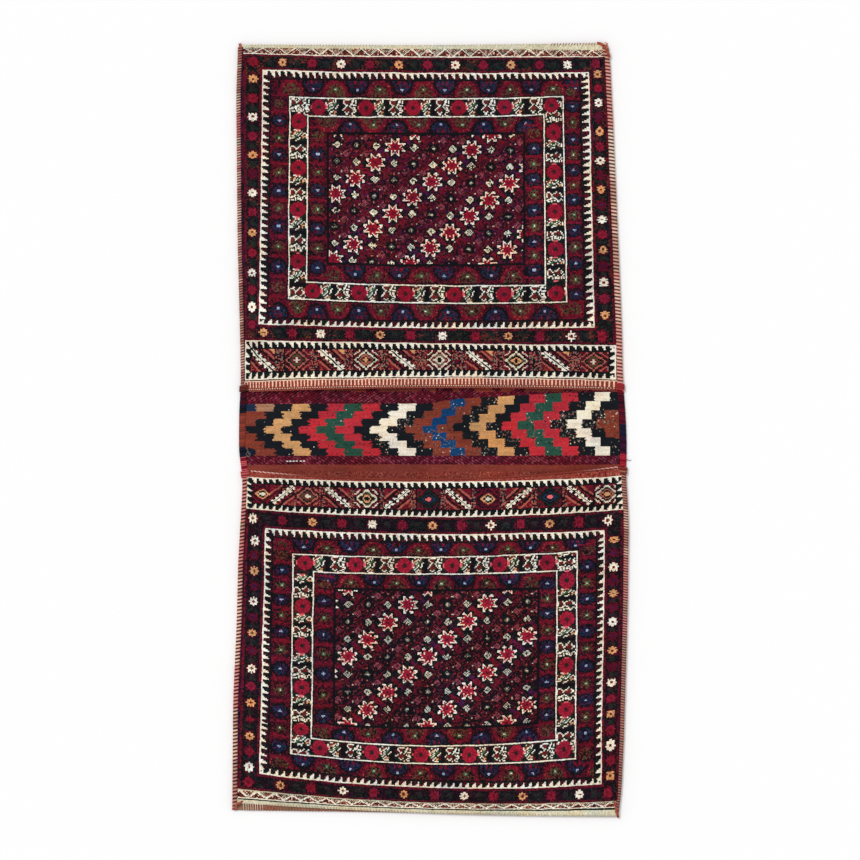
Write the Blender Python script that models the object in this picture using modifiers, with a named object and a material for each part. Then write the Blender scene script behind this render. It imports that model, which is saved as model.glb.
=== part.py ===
"""A double saddle bag that lies flat, face up: two wool pouches joined by a flat-woven bridge.

Metres, +Z up. The bag's length runs along Y, with the upper pouch at +Y, and its width runs along X.
The origin is on the ground under the middle of the bag.
"""

import bmesh
import bpy
from mathutils import Vector

LEFT, RIGHT = -1, 1
UPPER, LOWER = 1, -1
SIDE_NAMES = {LEFT: "left", RIGHT: "right"}
POUCH_NAMES = {UPPER: "upper", LOWER: "lower"}

# The whole bag
BAG_LENGTH = 1.200
HALF_WIDTH = 0.300
TUFT_LENGTH = 0.0055

# Thickness of the weaves, and the air between two pieces that touch
BACK_THICKNESS = 0.0025
FLAT_THICKNESS = 0.003
PILE_THICKNESS = 0.008
PILE_EDGE = 0.003
GAP = 0.0003
GROUND_CLEARANCE = 0.0001

# Clear height inside a pouch, and the width over which the back cloth's pinched edge comes down to the ground
POUCH_DEPTH = 0.007
BACK_RAMP = 0.012

# Wool wrapped over the edges of the cloths
BINDING_WIDTH = 0.010
BINDING_THICKNESS = 0.001
SEAM_WIDTH = 0.006
SEAM_THICKNESS = 0.001
TIE_WIDTH = 0.0135
TIE_LENGTH = 0.0105
TIE_BULGE = 0.0015
EDGE_SLACK = 0.002
WRAP_EASE = 0.0006
SHELF_MARGIN = 0.0015
TUFT_RADIUS = 0.0035
TUFT_TIP_RADIUS = 0.0015
CORD_DIAMETER = 0.0026

# Facets of the round pieces, and the angle in radians above which an edge shades sharp
TUFT_SIDES = 10
CORD_STEPS = 2
SHARP_ANGLE = 1.0

# How far each side stands out from HALF_WIDTH, by its share of the length from the upper end
SIDE_SWAY = {
    LEFT: (
        (0.00, -0.0027), (0.07, 0.0004), (0.26, -0.0018), (0.385, -0.0058), (0.445, -0.0070),
        (0.465, -0.0042), (0.535, -0.0035), (0.560, -0.0100), (0.605, -0.0073), (0.67, -0.0027),
        (0.75, -0.0004), (0.85, 0.0052), (1.00, 0.0066),
    ),
    RIGHT: (
        (0.00, -0.0265), (0.02, -0.0228), (0.10, -0.0181), (0.23, -0.0112), (0.37, -0.0043),
        (0.435, -0.0027), (0.455, -0.0004), (0.495, 0.0027), (0.535, 0.0038), (0.555, 0.0019),
        (0.62, 0.0066), (0.72, 0.0050), (0.77, 0.0035), (0.90, -0.0011), (0.97, -0.0050), (1.00, -0.0104),
    ),
}

# How much short of the full length each end stops, at its left and right corners
END_SHORTFALL = {UPPER: {LEFT: 0.0020, RIGHT: 0.0}, LOWER: {LEFT: 0.0090, RIGHT: 0.0}}

# Distance of each mouth from the bag's middle, at its left corner, its middle and its right corner
MOUTH = {UPPER: (0.0600, 0.0665, 0.0625), LOWER: (0.0651, 0.0790, 0.0600)}

# Widths of the woven borders, across the bag and along it
GUARD_ACROSS, GUARD_ALONG = 0.019, 0.019
TOOTHED_ACROSS, TOOTHED_ALONG = 0.013, 0.0145
SECONDARY_ACROSS, SECONDARY_ALONG = 0.031, 0.0235
MAIN_ACROSS, MAIN_ALONG = 0.032, 0.032
INNER_ACROSS, INNER_ALONG = 0.030, 0.026
HEM_ALONG = 0.013
CLOSURE_TEETH_ALONG = 0.010
CLOSURE_PANELS_ALONG = 0.040
ZIGZAG_ALONG = 0.006
FIELD_CELLS_ACROSS, FIELD_CELLS_ALONG = 10, 8
STAR_EVERY = 4
MOTIF_INSET = 0.004

# The least distance between the back cloth's rows at the outline's bends, the angle in radians under which
# the undersides' faces are merged, and the passes that settle a front panel's slanted lines on each other
ROW_SPACING = 0.012
FLATNESS = 0.0005
SETTLING_PASSES = 3

# The bridge: seven rows of stepped blocks between two twill bands
BRIDGE_STEPS = 44
CHEVRON_SHIFTS = (0, 1, 2, 3, 2, 1, 0)
BRIDGE_LOW = 0.0407
BRIDGE_HIGH = {LEFT: 0.0393, RIGHT: 0.0581}
UPPER_TWILL = 0.014
LOWER_TWILL = 0.0141
CHEVRON_BLOCKS = (
    "indigo", "tan", "black", "tan", "black", "red", "green", "red", "black", "ivory", "black", "madder",
    "indigo", "madder", "black", "tan", "black", "red", "green", "red", "black", "ivory", "black", "madder",
    "madder",
)

WOOLS = {
    "backing": (128, 62, 50),
    "aubergine": (62, 16, 34),
    "crimson": (146, 26, 46),
    "red": (196, 44, 54),
    "ivory": (238, 230, 212),
    "black": (28, 28, 32),
    "navy": (34, 48, 92),
    "indigo": (18, 66, 108),
    "green": (46, 84, 66),
    "tan": (222, 164, 100),
    "madder": (132, 60, 46),
    "brick": (176, 92, 74),
    "celadon": (192, 192, 164),
    "plum": (84, 22, 52),
}
WOOL_ROUGHNESS = 0.9

# Heights of the cloths where the wool holds their edges
SLOT_BOTTOM = BINDING_THICKNESS + GROUND_CLEARANCE
EDGE_LIFT = SLOT_BOTTOM + GAP
FRONT_LOW = BACK_THICKNESS + GAP
FRONT_HIGH = BACK_THICKNESS + POUCH_DEPTH
POUCH_SLOT_TOP = FRONT_LOW + FLAT_THICKNESS + GAP
BRIDGE_SLOT_TOP = BACK_THICKNESS + GAP

# Cloth edges lie this far inside the bag's outline
SIDE_INSET = BINDING_THICKNESS + EDGE_SLACK
END_INSET = TUFT_LENGTH + GAP + SEAM_THICKNESS + EDGE_SLACK
SHELF = max(BINDING_WIDTH, SEAM_WIDTH) - SIDE_INSET + SHELF_MARGIN


def linear(channel):
    """A display colour channel from 0 to 255 as the linear value that a shader takes."""
    value = channel / 255
    return value / 12.92 if value <= 0.04045 else ((value + 0.055) / 1.055) ** 2.4


def make_wools():
    made = {}
    for name, rgb in WOOLS.items():
        material = bpy.data.materials.new("wool_" + name)
        colour = (*(linear(channel) for channel in rgb), 1.0)
        material.use_nodes = True
        shader = material.node_tree.nodes["Principled BSDF"]
        shader.inputs["Base Color"].default_value = colour
        shader.inputs["Roughness"].default_value = WOOL_ROUGHNESS
        shader.inputs["Metallic"].default_value = 0.0
        material.diffuse_color = colour
        made[name] = material
    return made


def along(points, at):
    """The value at a place on a line through (place, value) points."""
    for (start, low), (end, high) in zip(points, points[1:]):
        if at <= end:
            return low + (high - low) * max(at - start, 0) / (end - start)
    return points[-1][1]


def bend_y(share):
    """Y of a place that is given as a share of the length from the upper end."""
    return BAG_LENGTH * (0.5 - share)


def outline_x(side, y):
    """X of the bag's outline on one side."""
    share = 0.5 - y / BAG_LENGTH
    return side * (HALF_WIDTH + along(SIDE_SWAY[side], share))


def cloth_x(side, y):
    return outline_x(side, y) - side * SIDE_INSET


def end_distance(pouch, x):
    """Distance of a pouch's outer end from the bag's middle, to the tips of its tufts."""
    share = 0.5 + 0.5 * x / HALF_WIDTH
    short = END_SHORTFALL[pouch]
    return BAG_LENGTH / 2 - short[LEFT] - (short[RIGHT] - short[LEFT]) * share


def mouth_distance(pouch, x):
    """Distance of a pouch's mouth from the bag's middle, on a parabola through its three named places."""
    left, middle, right = MOUTH[pouch]
    share = x / HALF_WIDTH
    return middle + share * (right - left) / 2 + share * share * ((right + left) / 2 - middle)


def clamp(value):
    return min(max(value, 0.0), 1.0)


def cloth_end(pouch, x):
    return end_distance(pouch, x) - END_INSET


def side_distance(x, y):
    """Distance from a point on a cloth to the cloth's nearer side."""
    return min(x - cloth_x(LEFT, y), cloth_x(RIGHT, y) - x)


def border_offsets(widths):
    """Running totals of border widths, from the cloth's edge inwards."""
    offsets = [0.0]
    for width in widths:
        offsets.append(offsets[-1] + width)
    return offsets


# Lines of the front panels, as distances from the side, the outer end and the mouth
SIDE_LINES = border_offsets(
    (SHELF, PILE_EDGE, GUARD_ACROSS, TOOTHED_ACROSS, SECONDARY_ACROSS, MAIN_ACROSS, INNER_ACROSS)
)
END_LINES = border_offsets(
    (
        SHELF, ZIGZAG_ALONG, PILE_EDGE, GUARD_ALONG, TOOTHED_ALONG, SECONDARY_ALONG, MAIN_ALONG,
        INNER_ALONG,
    )
)
MOUTH_LINES = border_offsets(
    (
        HEM_ALONG, CLOSURE_TEETH_ALONG, CLOSURE_PANELS_ALONG, CLOSURE_TEETH_ALONG, PILE_EDGE, GUARD_ALONG,
        TOOTHED_ALONG, SECONDARY_ALONG, MAIN_ALONG, INNER_ALONG,
    )
)
SIDE_SHOULDER = PILE_EDGE + GUARD_ACROSS + TOOTHED_ACROSS + SECONDARY_ACROSS
END_SHOULDER = ZIGZAG_ALONG + PILE_EDGE + GUARD_ALONG + TOOTHED_ALONG + SECONDARY_ALONG

# How many of those lines lie in flat weave, before the pile begins
FLAT_SIDE_LINES, FLAT_END_LINES, FLAT_MOUTH_LINES = 2, 3, 5

# What each strip between two of those lines is, from the cloth's edge inwards
SIDE_BORDERS = ("selvedge", "pile_edge", "guard", "toothed", "secondary", "main", "inner")
END_BORDERS = ("strip", "zigzag", "pile_edge", "guard", "toothed", "secondary", "main", "inner")
MOUTH_BORDERS = (
    "hem", "teeth", "panels", "teeth", "pile_edge", "guard", "toothed", "secondary", "main", "inner",
)
RING_ORDER = ("pile_edge", "guard", "toothed", "secondary", "main", "inner", "field")


def front_underside(pouch, x, y):
    """Height of a front panel's underside: low where it is sewn down, high over the pouch's hollow."""
    from_side = side_distance(x, y)
    from_end = cloth_end(pouch, x) - pouch * y
    side_rise = clamp((from_side - SHELF) / SIDE_SHOULDER)
    end_rise = clamp((from_end - SHELF) / END_SHOULDER)
    return FRONT_LOW + (FRONT_HIGH - FRONT_LOW) * side_rise * end_rise


def back_fullness(x, y):
    """How full the back cloth is, from 0 at its edges, which the wool wrapped under them pinches, to 1."""
    from_side = side_distance(x, y)
    pouch = UPPER if y > 0 else LOWER
    from_end = cloth_end(pouch, x) - pouch * y
    return clamp((min(from_side, from_end) - SHELF) / BACK_RAMP)


def link(name, mesh, collection):
    made = bpy.data.objects.new(name, mesh)
    collection.objects.link(made)
    return made


def open_surface(name, grid):
    """An open mesh of four-sided faces through a grid of points."""
    build = bmesh.new()
    rows = [[build.verts.new(point) for point in line] for line in grid]
    for low, high in zip(rows, rows[1:]):
        for column in range(len(low) - 1):
            build.faces.new((low[column], low[column + 1], high[column + 1], high[column]))
    mesh = bpy.data.meshes.new(name)
    build.to_mesh(mesh)
    build.free()
    return mesh


def thicken(sheet, thickness, outward=1):
    shell = sheet.modifiers.new("thickness", "SOLIDIFY")
    shell.thickness = thickness
    shell.offset = outward
    return shell


def thin_down(sheet, shell, name, fullness, least):
    """Lets a shell's thickness follow a fullness for each vertex, down to its least thickness at 0."""
    group = sheet.vertex_groups.new(name=name)
    for index, share in enumerate(fullness):
        group.add([index], share, "REPLACE")
    shell.vertex_group = group.name
    shell.thickness_vertex_group = least / shell.thickness


def take_evaluated_mesh(sheet):
    """Replaces an object's mesh by what its modifiers make of it."""
    bpy.context.view_layer.update()
    evaluated = sheet.evaluated_get(bpy.context.evaluated_depsgraph_get())
    solid = bpy.data.meshes.new_from_object(evaluated)
    sheet.modifiers.clear()
    sheet.data = solid


def weave_in_colours(sheet, paints, wools):
    """Gives each face on top its wool, with a square motif inside it where the paint has one."""
    mesh = sheet.data
    order = list(WOOLS)
    mesh.materials.clear()
    for name in order:
        mesh.materials.append(wools[name])
    build = bmesh.new()
    build.from_mesh(mesh)
    build.faces.ensure_lookup_table()
    motifs = []
    for face in build.faces:
        ground, motif = "backing", None
        in_rim = face.index >= 2 * len(paints)
        if face.normal.z > 0 and not in_rim:
            ground, motif = paints[face.index % len(paints)]
        face.material_index = order.index(ground)
        if motif:
            motifs.append((face, motif))
    for face, motif in motifs:
        bmesh.ops.inset_individual(build, faces=[face], thickness=MOTIF_INSET, use_even_offset=True)
        face.material_index = order.index(motif)
    backing = order.index("backing")

    def is_plain(part):
        return all(face.material_index == backing for face in part.link_faces)

    bmesh.ops.dissolve_limit(
        build,
        angle_limit=FLATNESS,
        use_dissolve_boundaries=False,
        verts=[vert for vert in build.verts if is_plain(vert)],
        edges=[edge for edge in build.edges if is_plain(edge)],
    )
    build.to_mesh(mesh)
    build.free()


def back_rows():
    """The back cloth's lines across, from the lower end up, and the number of the lower twill's first line.

    Each line is a function that gives y for an x.
    """

    def ramp(pouch, inset):
        return lambda x: pouch * (cloth_end(pouch, x) - inset)

    def bridge_high(x):
        share = 0.5 + 0.5 * x / HALF_WIDTH
        return BRIDGE_HIGH[LEFT] + (BRIDGE_HIGH[RIGHT] - BRIDGE_HIGH[LEFT]) * share

    def bridge_row(count):
        share = count / len(CHEVRON_SHIFTS)
        return lambda x: -BRIDGE_LOW + (bridge_high(x) + BRIDGE_LOW) * share

    def bends(low, high):
        """Straight rows where the bag's outline bends, so that the cloth's sides follow it."""
        ys = {round(bend_y(share), 4) for sway in SIDE_SWAY.values() for share, _ in sway}
        kept = [low + ROW_SPACING]
        for y in sorted(ys):
            if kept[-1] + ROW_SPACING < y < high - ROW_SPACING:
                kept.append(y)
        return [lambda x, y=y: y for y in kept]

    twill_low = -BRIDGE_LOW - LOWER_TWILL
    twill_high = BRIDGE_HIGH[RIGHT] + UPPER_TWILL
    ramp_low = -cloth_end(LOWER, -HALF_WIDTH) + SHELF + BACK_RAMP
    ramp_high = cloth_end(UPPER, -HALF_WIDTH) - SHELF - BACK_RAMP
    rows = [ramp(LOWER, 0.0), ramp(LOWER, SHELF), ramp(LOWER, SHELF + BACK_RAMP)]
    rows += bends(ramp_low, twill_low)
    twill_row = len(rows)
    rows.append(lambda x: twill_low)
    rows += [bridge_row(count) for count in range(len(CHEVRON_SHIFTS) + 1)]
    rows.append(lambda x: bridge_high(x) + UPPER_TWILL)
    rows += bends(twill_high, ramp_high)
    rows += [ramp(UPPER, SHELF + BACK_RAMP), ramp(UPPER, SHELF), ramp(UPPER, 0.0)]
    return rows, twill_row


def back_paint(row, column):
    """The wool of one face of the back cloth's top, with its row counted from the lower twill band."""
    bridge_row = len(CHEVRON_SHIFTS) - row
    if row in (0, len(CHEVRON_SHIFTS) + 1):
        return "plum", None
    if not 0 <= bridge_row < len(CHEVRON_SHIFTS):
        return "backing", None
    if column in (0, BRIDGE_STEPS + 1):
        return "black", None
    block = (column + CHEVRON_SHIFTS[bridge_row]) // 2
    return CHEVRON_BLOCKS[block], None


def make_back_cloth(collection, wools):
    rows, twill_row = back_rows()
    grid, paints = [], []
    for line in rows:
        y_left = line(-HALF_WIDTH)
        y_right = line(HALF_WIDTH)
        left, right = cloth_x(LEFT, y_left), cloth_x(RIGHT, y_right)
        inner = right - left - 2 * SHELF
        xs = [left, *(left + SHELF + inner * step / BRIDGE_STEPS for step in range(BRIDGE_STEPS + 1)), right]
        grid.append([(x, line(x), BACK_THICKNESS) for x in xs])
    for row in range(len(rows) - 1):
        paints += [back_paint(row - twill_row, column) for column in range(BRIDGE_STEPS + 2)]
    sheet = link("back_cloth", open_surface("back_cloth", grid), collection)
    fullness = [back_fullness(x, y) for line in grid for x, y, _ in line]
    shell = thicken(sheet, BACK_THICKNESS, outward=-1)
    thin_down(sheet, shell, "pinched_edges", fullness, BACK_THICKNESS - EDGE_LIFT)
    take_evaluated_mesh(sheet)
    sheet.vertex_groups.clear()
    weave_in_colours(sheet, paints, wools)


def front_columns(y):
    """X of each line that runs along a front panel, at one y."""
    left, right = cloth_x(LEFT, y), cloth_x(RIGHT, y)
    low, high = left + SIDE_LINES[-1], right - SIDE_LINES[-1]
    field = [low + (high - low) * cell / FIELD_CELLS_ACROSS for cell in range(1, FIELD_CELLS_ACROSS)]
    return (
        [left + line for line in SIDE_LINES] + field + [right - line for line in reversed(SIDE_LINES)]
    )


def front_rows(pouch, x):
    """Distance from the bag's middle of each line that runs across a front panel, from end to mouth."""
    end, mouth = cloth_end(pouch, x), mouth_distance(pouch, x)
    high, low = end - END_LINES[-1], mouth + MOUTH_LINES[-1]
    field = [high + (low - high) * cell / FIELD_CELLS_ALONG for cell in range(1, FIELD_CELLS_ALONG)]
    return [end - line for line in END_LINES] + field + [mouth + line for line in reversed(MOUTH_LINES)]


def front_paint(band, border, row, column):
    """The wool, and any motif, of one face of a front panel's top."""
    alternate = (row + column) % 2 == 0
    if band in ("strip", "zigzag", "hem"):
        return {"strip": "celadon", "zigzag": "crimson", "hem": "brick"}[band], None
    if border == "selvedge":
        return "brick", None
    if band == "teeth":
        return "ivory", None
    if band == "panels":
        return ("crimson", "ivory") if alternate else ("madder", "navy")
    ring = RING_ORDER[min(RING_ORDER.index(band), RING_ORDER.index(border))]
    if ring == "field":
        return ("aubergine", "red") if (row + column) % STAR_EVERY == 0 else ("aubergine", None)
    return {
        "pile_edge": ("black", None),
        "guard": ("black", ("red", "tan", "ivory")[(row + column) % 3]),
        "toothed": ("ivory", None),
        "secondary": ("crimson" if alternate else "navy", None),
        "main": ("ivory", "red" if alternate else "green"),
        "inner": ("navy" if alternate else "crimson", None),
    }[ring]


def make_front_panel(pouch, collection, wools):
    name = POUCH_NAMES[pouch] + "_front_panel"
    columns = len(front_columns(0.0))
    rows = len(front_rows(pouch, 0.0))
    grid = []
    for row in range(rows):
        line = []
        for column in range(columns):
            x, y = 0.0, 0.0
            for _ in range(SETTLING_PASSES):
                x = front_columns(y)[column]
                y = pouch * front_rows(pouch, x)[row]
            line.append((x, y, front_underside(pouch, x, y)))
        grid.append(line if pouch == LOWER else line[::-1])
    sheet = link(name, open_surface(name, grid), collection)
    pile_rows = range(FLAT_END_LINES, rows - FLAT_MOUTH_LINES)
    pile_columns = range(FLAT_SIDE_LINES, columns - FLAT_SIDE_LINES)
    fullness = [
        float(row in pile_rows and column in pile_columns) for row in range(rows) for column in range(columns)
    ]
    shell = thicken(sheet, PILE_THICKNESS)
    thin_down(sheet, shell, "pile", fullness, FLAT_THICKNESS)
    take_evaluated_mesh(sheet)
    sheet.vertex_groups.clear()

    bands = END_BORDERS + ("field",) * FIELD_CELLS_ALONG + MOUTH_BORDERS[::-1]
    borders = SIDE_BORDERS + ("field",) * FIELD_CELLS_ACROSS + SIDE_BORDERS[::-1]
    if pouch == UPPER:
        borders = borders[::-1]
    paints = [
        front_paint(band, border, row, column)
        for row, band in enumerate(bands)
        for column, border in enumerate(borders)
    ]
    weave_in_colours(sheet, paints, wools)


def wrap(name, line, outward, lip, slot_top, thickness, wool, collection, wools):
    """Wool wrapped over an edge: an open C section swept along a line of (x, y) points, and thickened.

    The line is the closed side of the C, and outward is the direction there, away from the cloth.
    """
    section = (
        (-lip, slot_top),
        (-WRAP_EASE, slot_top),
        (0.0, slot_top - WRAP_EASE),
        (0.0, SLOT_BOTTOM + WRAP_EASE),
        (-WRAP_EASE, SLOT_BOTTOM),
        (-lip, SLOT_BOTTOM),
    )
    grid = [
        [(x + outward[0] * out, y + outward[1] * out, height) for out, height in section] for x, y in line
    ]
    run = Vector(line[-1]) - Vector(line[0])
    if run.x * outward[1] - run.y * outward[0] > 0:
        grid.reverse()
    made = link(name, open_surface(name, grid), collection)
    made.data.materials.append(wools[wool])
    shell = thicken(made, thickness)
    shell.use_even_offset = True


def side_line(side, start, end, bulge=0.0):
    """Points along one side's wrapped edge between two y values, with one at each bend of the outline."""
    bends = [bend_y(share) for share, _ in SIDE_SWAY[side]]
    ys = [start, *sorted(y for y in bends if start < y < end), end]
    return [(outline_x(side, y) - side * (BINDING_THICKNESS - bulge), y) for y in ys]


def tie_span(pouch, side):
    """Distances from the bag's middle between which a corner tie lies."""
    corner = mouth_distance(pouch, outline_x(side, pouch * MOUTH[pouch][1]))
    low = corner - EDGE_SLACK
    return low, low + TIE_LENGTH


def binding_span(pouch, side):
    """Distances from the bag's middle between which a side binding lies."""
    far = end_distance(pouch, side * HALF_WIDTH) - TUFT_LENGTH - GAP
    return tie_span(pouch, side)[1] + GAP, far


def ordered(pouch, span):
    return sorted(pouch * distance for distance in span)


def make_side_wraps(collection, wools):
    for side, side_name in SIDE_NAMES.items():
        outward = (side, 0.0)
        for pouch, pouch_name in POUCH_NAMES.items():
            start, end = ordered(pouch, binding_span(pouch, side))
            wrap(
                f"{pouch_name}_{side_name}_binding", side_line(side, start, end), outward,
                BINDING_WIDTH - BINDING_THICKNESS, POUCH_SLOT_TOP, BINDING_THICKNESS, "brick",
                collection, wools,
            )
            start, end = ordered(pouch, tie_span(pouch, side))
            wrap(
                f"{pouch_name}_{side_name}_tie", side_line(side, start, end, TIE_BULGE), outward,
                TIE_WIDTH - BINDING_THICKNESS, POUCH_SLOT_TOP, BINDING_THICKNESS, "red",
                collection, wools,
            )
        start = -tie_span(LOWER, side)[0] + GAP
        end = tie_span(UPPER, side)[0] - GAP
        wrap(
            f"{side_name}_bridge_selvedge", side_line(side, start, end), outward,
            BINDING_WIDTH - BINDING_THICKNESS, BRIDGE_SLOT_TOP, BINDING_THICKNESS, "black",
            collection, wools,
        )


def make_end_seams(collection, wools):
    """The thread that closes each pouch's outer end, between its two side bindings."""
    for pouch, pouch_name in POUCH_NAMES.items():
        xs = []
        for side in (LEFT, RIGHT):
            y = pouch * cloth_end(pouch, side * HALF_WIDTH)
            xs.append(outline_x(side, y) - side * (BINDING_WIDTH + SHELF_MARGIN))
        line = [(x, pouch * (cloth_end(pouch, x) + EDGE_SLACK)) for x in xs]
        wrap(
            f"{pouch_name}_end_seam", line, (0.0, pouch), SEAM_WIDTH - SEAM_THICKNESS, POUCH_SLOT_TOP,
            SEAM_THICKNESS, "ivory", collection, wools,
        )


def make_tufts(collection, wools):
    """The side bindings' loose ends, at the bag's outer corners."""
    height = (SLOT_BOTTOM + POUCH_SLOT_TOP) / 2
    for pouch, pouch_name in POUCH_NAMES.items():
        for side, side_name in SIDE_NAMES.items():
            base = binding_span(pouch, side)[1] + GAP
            name = f"{pouch_name}_{side_name}_tuft"
            build = bmesh.new()
            bmesh.ops.create_cone(
                build, cap_ends=True, segments=TUFT_SIDES, radius1=TUFT_RADIUS, radius2=TUFT_TIP_RADIUS,
                depth=TUFT_LENGTH,
            )
            mesh = bpy.data.meshes.new(name)
            build.to_mesh(mesh)
            build.free()
            mesh.materials.append(wools["brick"])
            mesh.shade_smooth()
            mesh.set_sharp_from_angle(angle=SHARP_ANGLE)
            tuft = link(name, mesh, collection)
            edge = outline_x(side, pouch * base) - side * (TUFT_RADIUS + GAP)
            tuft.location = (edge, pouch * (base + TUFT_LENGTH / 2), height)
            tuft.rotation_euler = Vector((0.0, pouch, 0.0)).to_track_quat("Z", "X").to_euler()


def make_mouth_cords(collection, wools):
    """A cord along each mouth's edge, from one tie to the other."""
    for pouch, pouch_name in POUCH_NAMES.items():
        middle = pouch * MOUTH[pouch][1]
        ends = [
            outline_x(side, middle) + side * (TIE_BULGE - TIE_WIDTH - 2 * GAP) for side in (LEFT, RIGHT)
        ]
        inside = [x for x in front_columns(middle) if ends[0] < x < ends[1]]
        curve = bpy.data.curves.new(f"{pouch_name}_mouth_cord", "CURVE")
        curve.dimensions = "3D"
        curve.bevel_depth = CORD_DIAMETER / 2
        curve.bevel_resolution = CORD_STEPS
        curve.use_fill_caps = True
        spline = curve.splines.new("POLY")
        route = [ends[0], *inside, ends[1]]
        spline.points.add(len(route) - 1)
        for point, x in zip(spline.points, route):
            mouth = mouth_distance(pouch, x)
            height = front_underside(pouch, x, pouch * mouth) + FLAT_THICKNESS / 2
            point.co = (x, pouch * (mouth - GAP - CORD_DIAMETER / 2), height, 1.0)
        curve.materials.append(wools["ivory"])
        link(f"{pouch_name}_mouth_cord", curve, collection)


def main():
    for old in list(bpy.data.objects):
        bpy.data.objects.remove(old, do_unlink=True)
    collection = bpy.data.collections.new("double_saddle_bag")
    bpy.context.scene.collection.children.link(collection)
    wools = make_wools()
    make_back_cloth(collection, wools)
    for pouch in (UPPER, LOWER):
        make_front_panel(pouch, collection, wools)
    make_side_wraps(collection, wools)
    make_end_seams(collection, wools)
    make_tufts(collection, wools)
    make_mouth_cords(collection, wools)


main()
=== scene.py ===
"""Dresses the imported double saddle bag: knotted pile, a flat-woven bridge, and edges overcast with wool.

Lengths are in metres. Places on the bag are given as pixels of its photograph, 860 by 860, counted from the
upper left corner, and on_bag() turns them into x and y of the frame.
"""

import math

import bpy
import numpy as np
from numpy.random import default_rng
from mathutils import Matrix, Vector
from mathutils.geometry import delaunay_2d_cdt


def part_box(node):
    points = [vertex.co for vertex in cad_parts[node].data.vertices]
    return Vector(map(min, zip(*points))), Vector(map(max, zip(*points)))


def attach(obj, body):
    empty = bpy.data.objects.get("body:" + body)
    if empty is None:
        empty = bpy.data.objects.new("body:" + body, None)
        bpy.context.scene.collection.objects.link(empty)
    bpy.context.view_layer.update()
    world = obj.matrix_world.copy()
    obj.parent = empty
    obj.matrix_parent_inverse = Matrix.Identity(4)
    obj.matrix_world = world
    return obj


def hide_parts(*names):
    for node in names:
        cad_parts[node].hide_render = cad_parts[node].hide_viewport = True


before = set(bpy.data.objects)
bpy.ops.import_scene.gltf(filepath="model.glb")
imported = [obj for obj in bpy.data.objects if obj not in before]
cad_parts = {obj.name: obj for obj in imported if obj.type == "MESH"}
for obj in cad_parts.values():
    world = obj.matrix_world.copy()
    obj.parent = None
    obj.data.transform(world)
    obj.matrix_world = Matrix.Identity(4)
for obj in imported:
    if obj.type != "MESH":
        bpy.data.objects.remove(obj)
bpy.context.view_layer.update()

# The photograph's frame on the bag
PICTURE = 860
BAG_LENGTH = 1.2
HALF_WIDTH = 0.3
BAG_PIXELS = 777.0
PIXEL = BAG_LENGTH / BAG_PIXELS
MIDDLE_X, MIDDLE_Y = 430.5, 429.35
LEFT, RIGHT = -1, 1
UPPER, LOWER = 1, -1
SIDE_NAMES = {LEFT: "left", RIGHT: "right"}
POUCH_NAMES = {UPPER: "upper", LOWER: "lower"}

# How far each side stands out from HALF_WIDTH, by its share of the length from the upper end
SIDE_SWAY = {
    LEFT: (
        (0.00, -0.0027), (0.07, 0.0004), (0.26, -0.0018), (0.385, -0.0058), (0.445, -0.0070),
        (0.465, -0.0042), (0.535, -0.0035), (0.560, -0.0100), (0.605, -0.0073), (0.67, -0.0027),
        (0.75, -0.0004), (0.85, 0.0052), (1.00, 0.0066),
    ),
    RIGHT: (
        (0.00, -0.0265), (0.02, -0.0228), (0.10, -0.0181), (0.23, -0.0112), (0.37, -0.0043),
        (0.435, -0.0027), (0.455, -0.0004), (0.495, 0.0027), (0.535, 0.0038), (0.555, 0.0019),
        (0.62, 0.0066), (0.72, 0.0050), (0.77, 0.0035), (0.90, -0.0011), (0.97, -0.0050), (1.00, -0.0104),
    ),
}
SWAY_SOFTNESS = 0.008
NOISE_CELLS = 64
STREAK_STRETCH = 0.12
BRIGHTEST = 0.95

# Heights and thicknesses of the cloths, as in the solids
BACK_TOP = 0.0025
BACK_BOTTOM = 0.0002
BACK_LIFT = 0.0014
BACK_RAMP = 0.012
FRONT_LOW = 0.0028
FRONT_HIGH = 0.0095
FLAT_THICKNESS = 0.003
PILE_THICKNESS = 0.008
PILE_EDGE = 0.003
SHELF = 0.0085
SHOULDER = 0.066
CLOTH_INSET = 0.003
END_OVERHANG = 0.006

# Wool wrapped over the edges
BINDING_WIDTH = 0.010
POUCH_WRAP_TOP = 0.0071
BRIDGE_WRAP_TOP = 0.0040
WRAP_BOTTOM = 0.0002
TIE_WIDTH = 0.0135
CORD_DIAMETER = 0.0026

# The wools, as display colours
WOOLS = dict(
    ink=(20, 17, 22), pine=(24, 38, 32), navy=(29, 31, 56), blue=(28, 46, 72), sky=(150, 162, 188),
    cream=(240, 228, 208), crimson=(108, 20, 36), wine=(84, 16, 34), aubergine=(52, 14, 34),
    plum=(68, 22, 60), red=(136, 21, 41), scarlet=(152, 30, 50), rose=(214, 100, 104),
    blush=(238, 196, 172), tan=(208, 150, 102), olive=(78, 66, 47), brown=(92, 42, 34),
    brick=(146, 62, 50), madder=(128, 56, 46), celadon=(202, 196, 166), oat=(214, 205, 180),
    ash=(182, 176, 160), grey=(112, 104, 94), smoke=(38, 36, 36), garnet=(124, 25, 46),
    mauve=(132, 62, 74), leaf=(70, 96, 66), dusty=(166, 92, 78), rust=(164, 84, 50),
    backing=(162, 118, 92), kilim_red=(184, 46, 56), kilim_green=(40, 78, 64),
    kilim_blue=(18, 64, 110), kilim_black=(24, 27, 31), kilim_tan=(204, 150, 98),
    kilim_cream=(251, 232, 209), kilim_madder=(128, 58, 44),
)
WOOL_NAMES = list(WOOLS)


def linear(channel):
    """A display colour channel from 0 to 1 as the linear value that a shader takes."""
    return np.where(channel <= 0.04045, channel / 12.92, ((channel + 0.055) / 1.055) ** 2.4)


PALETTE = linear(np.array([WOOLS[name] for name in WOOL_NAMES]) / 255)


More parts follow.
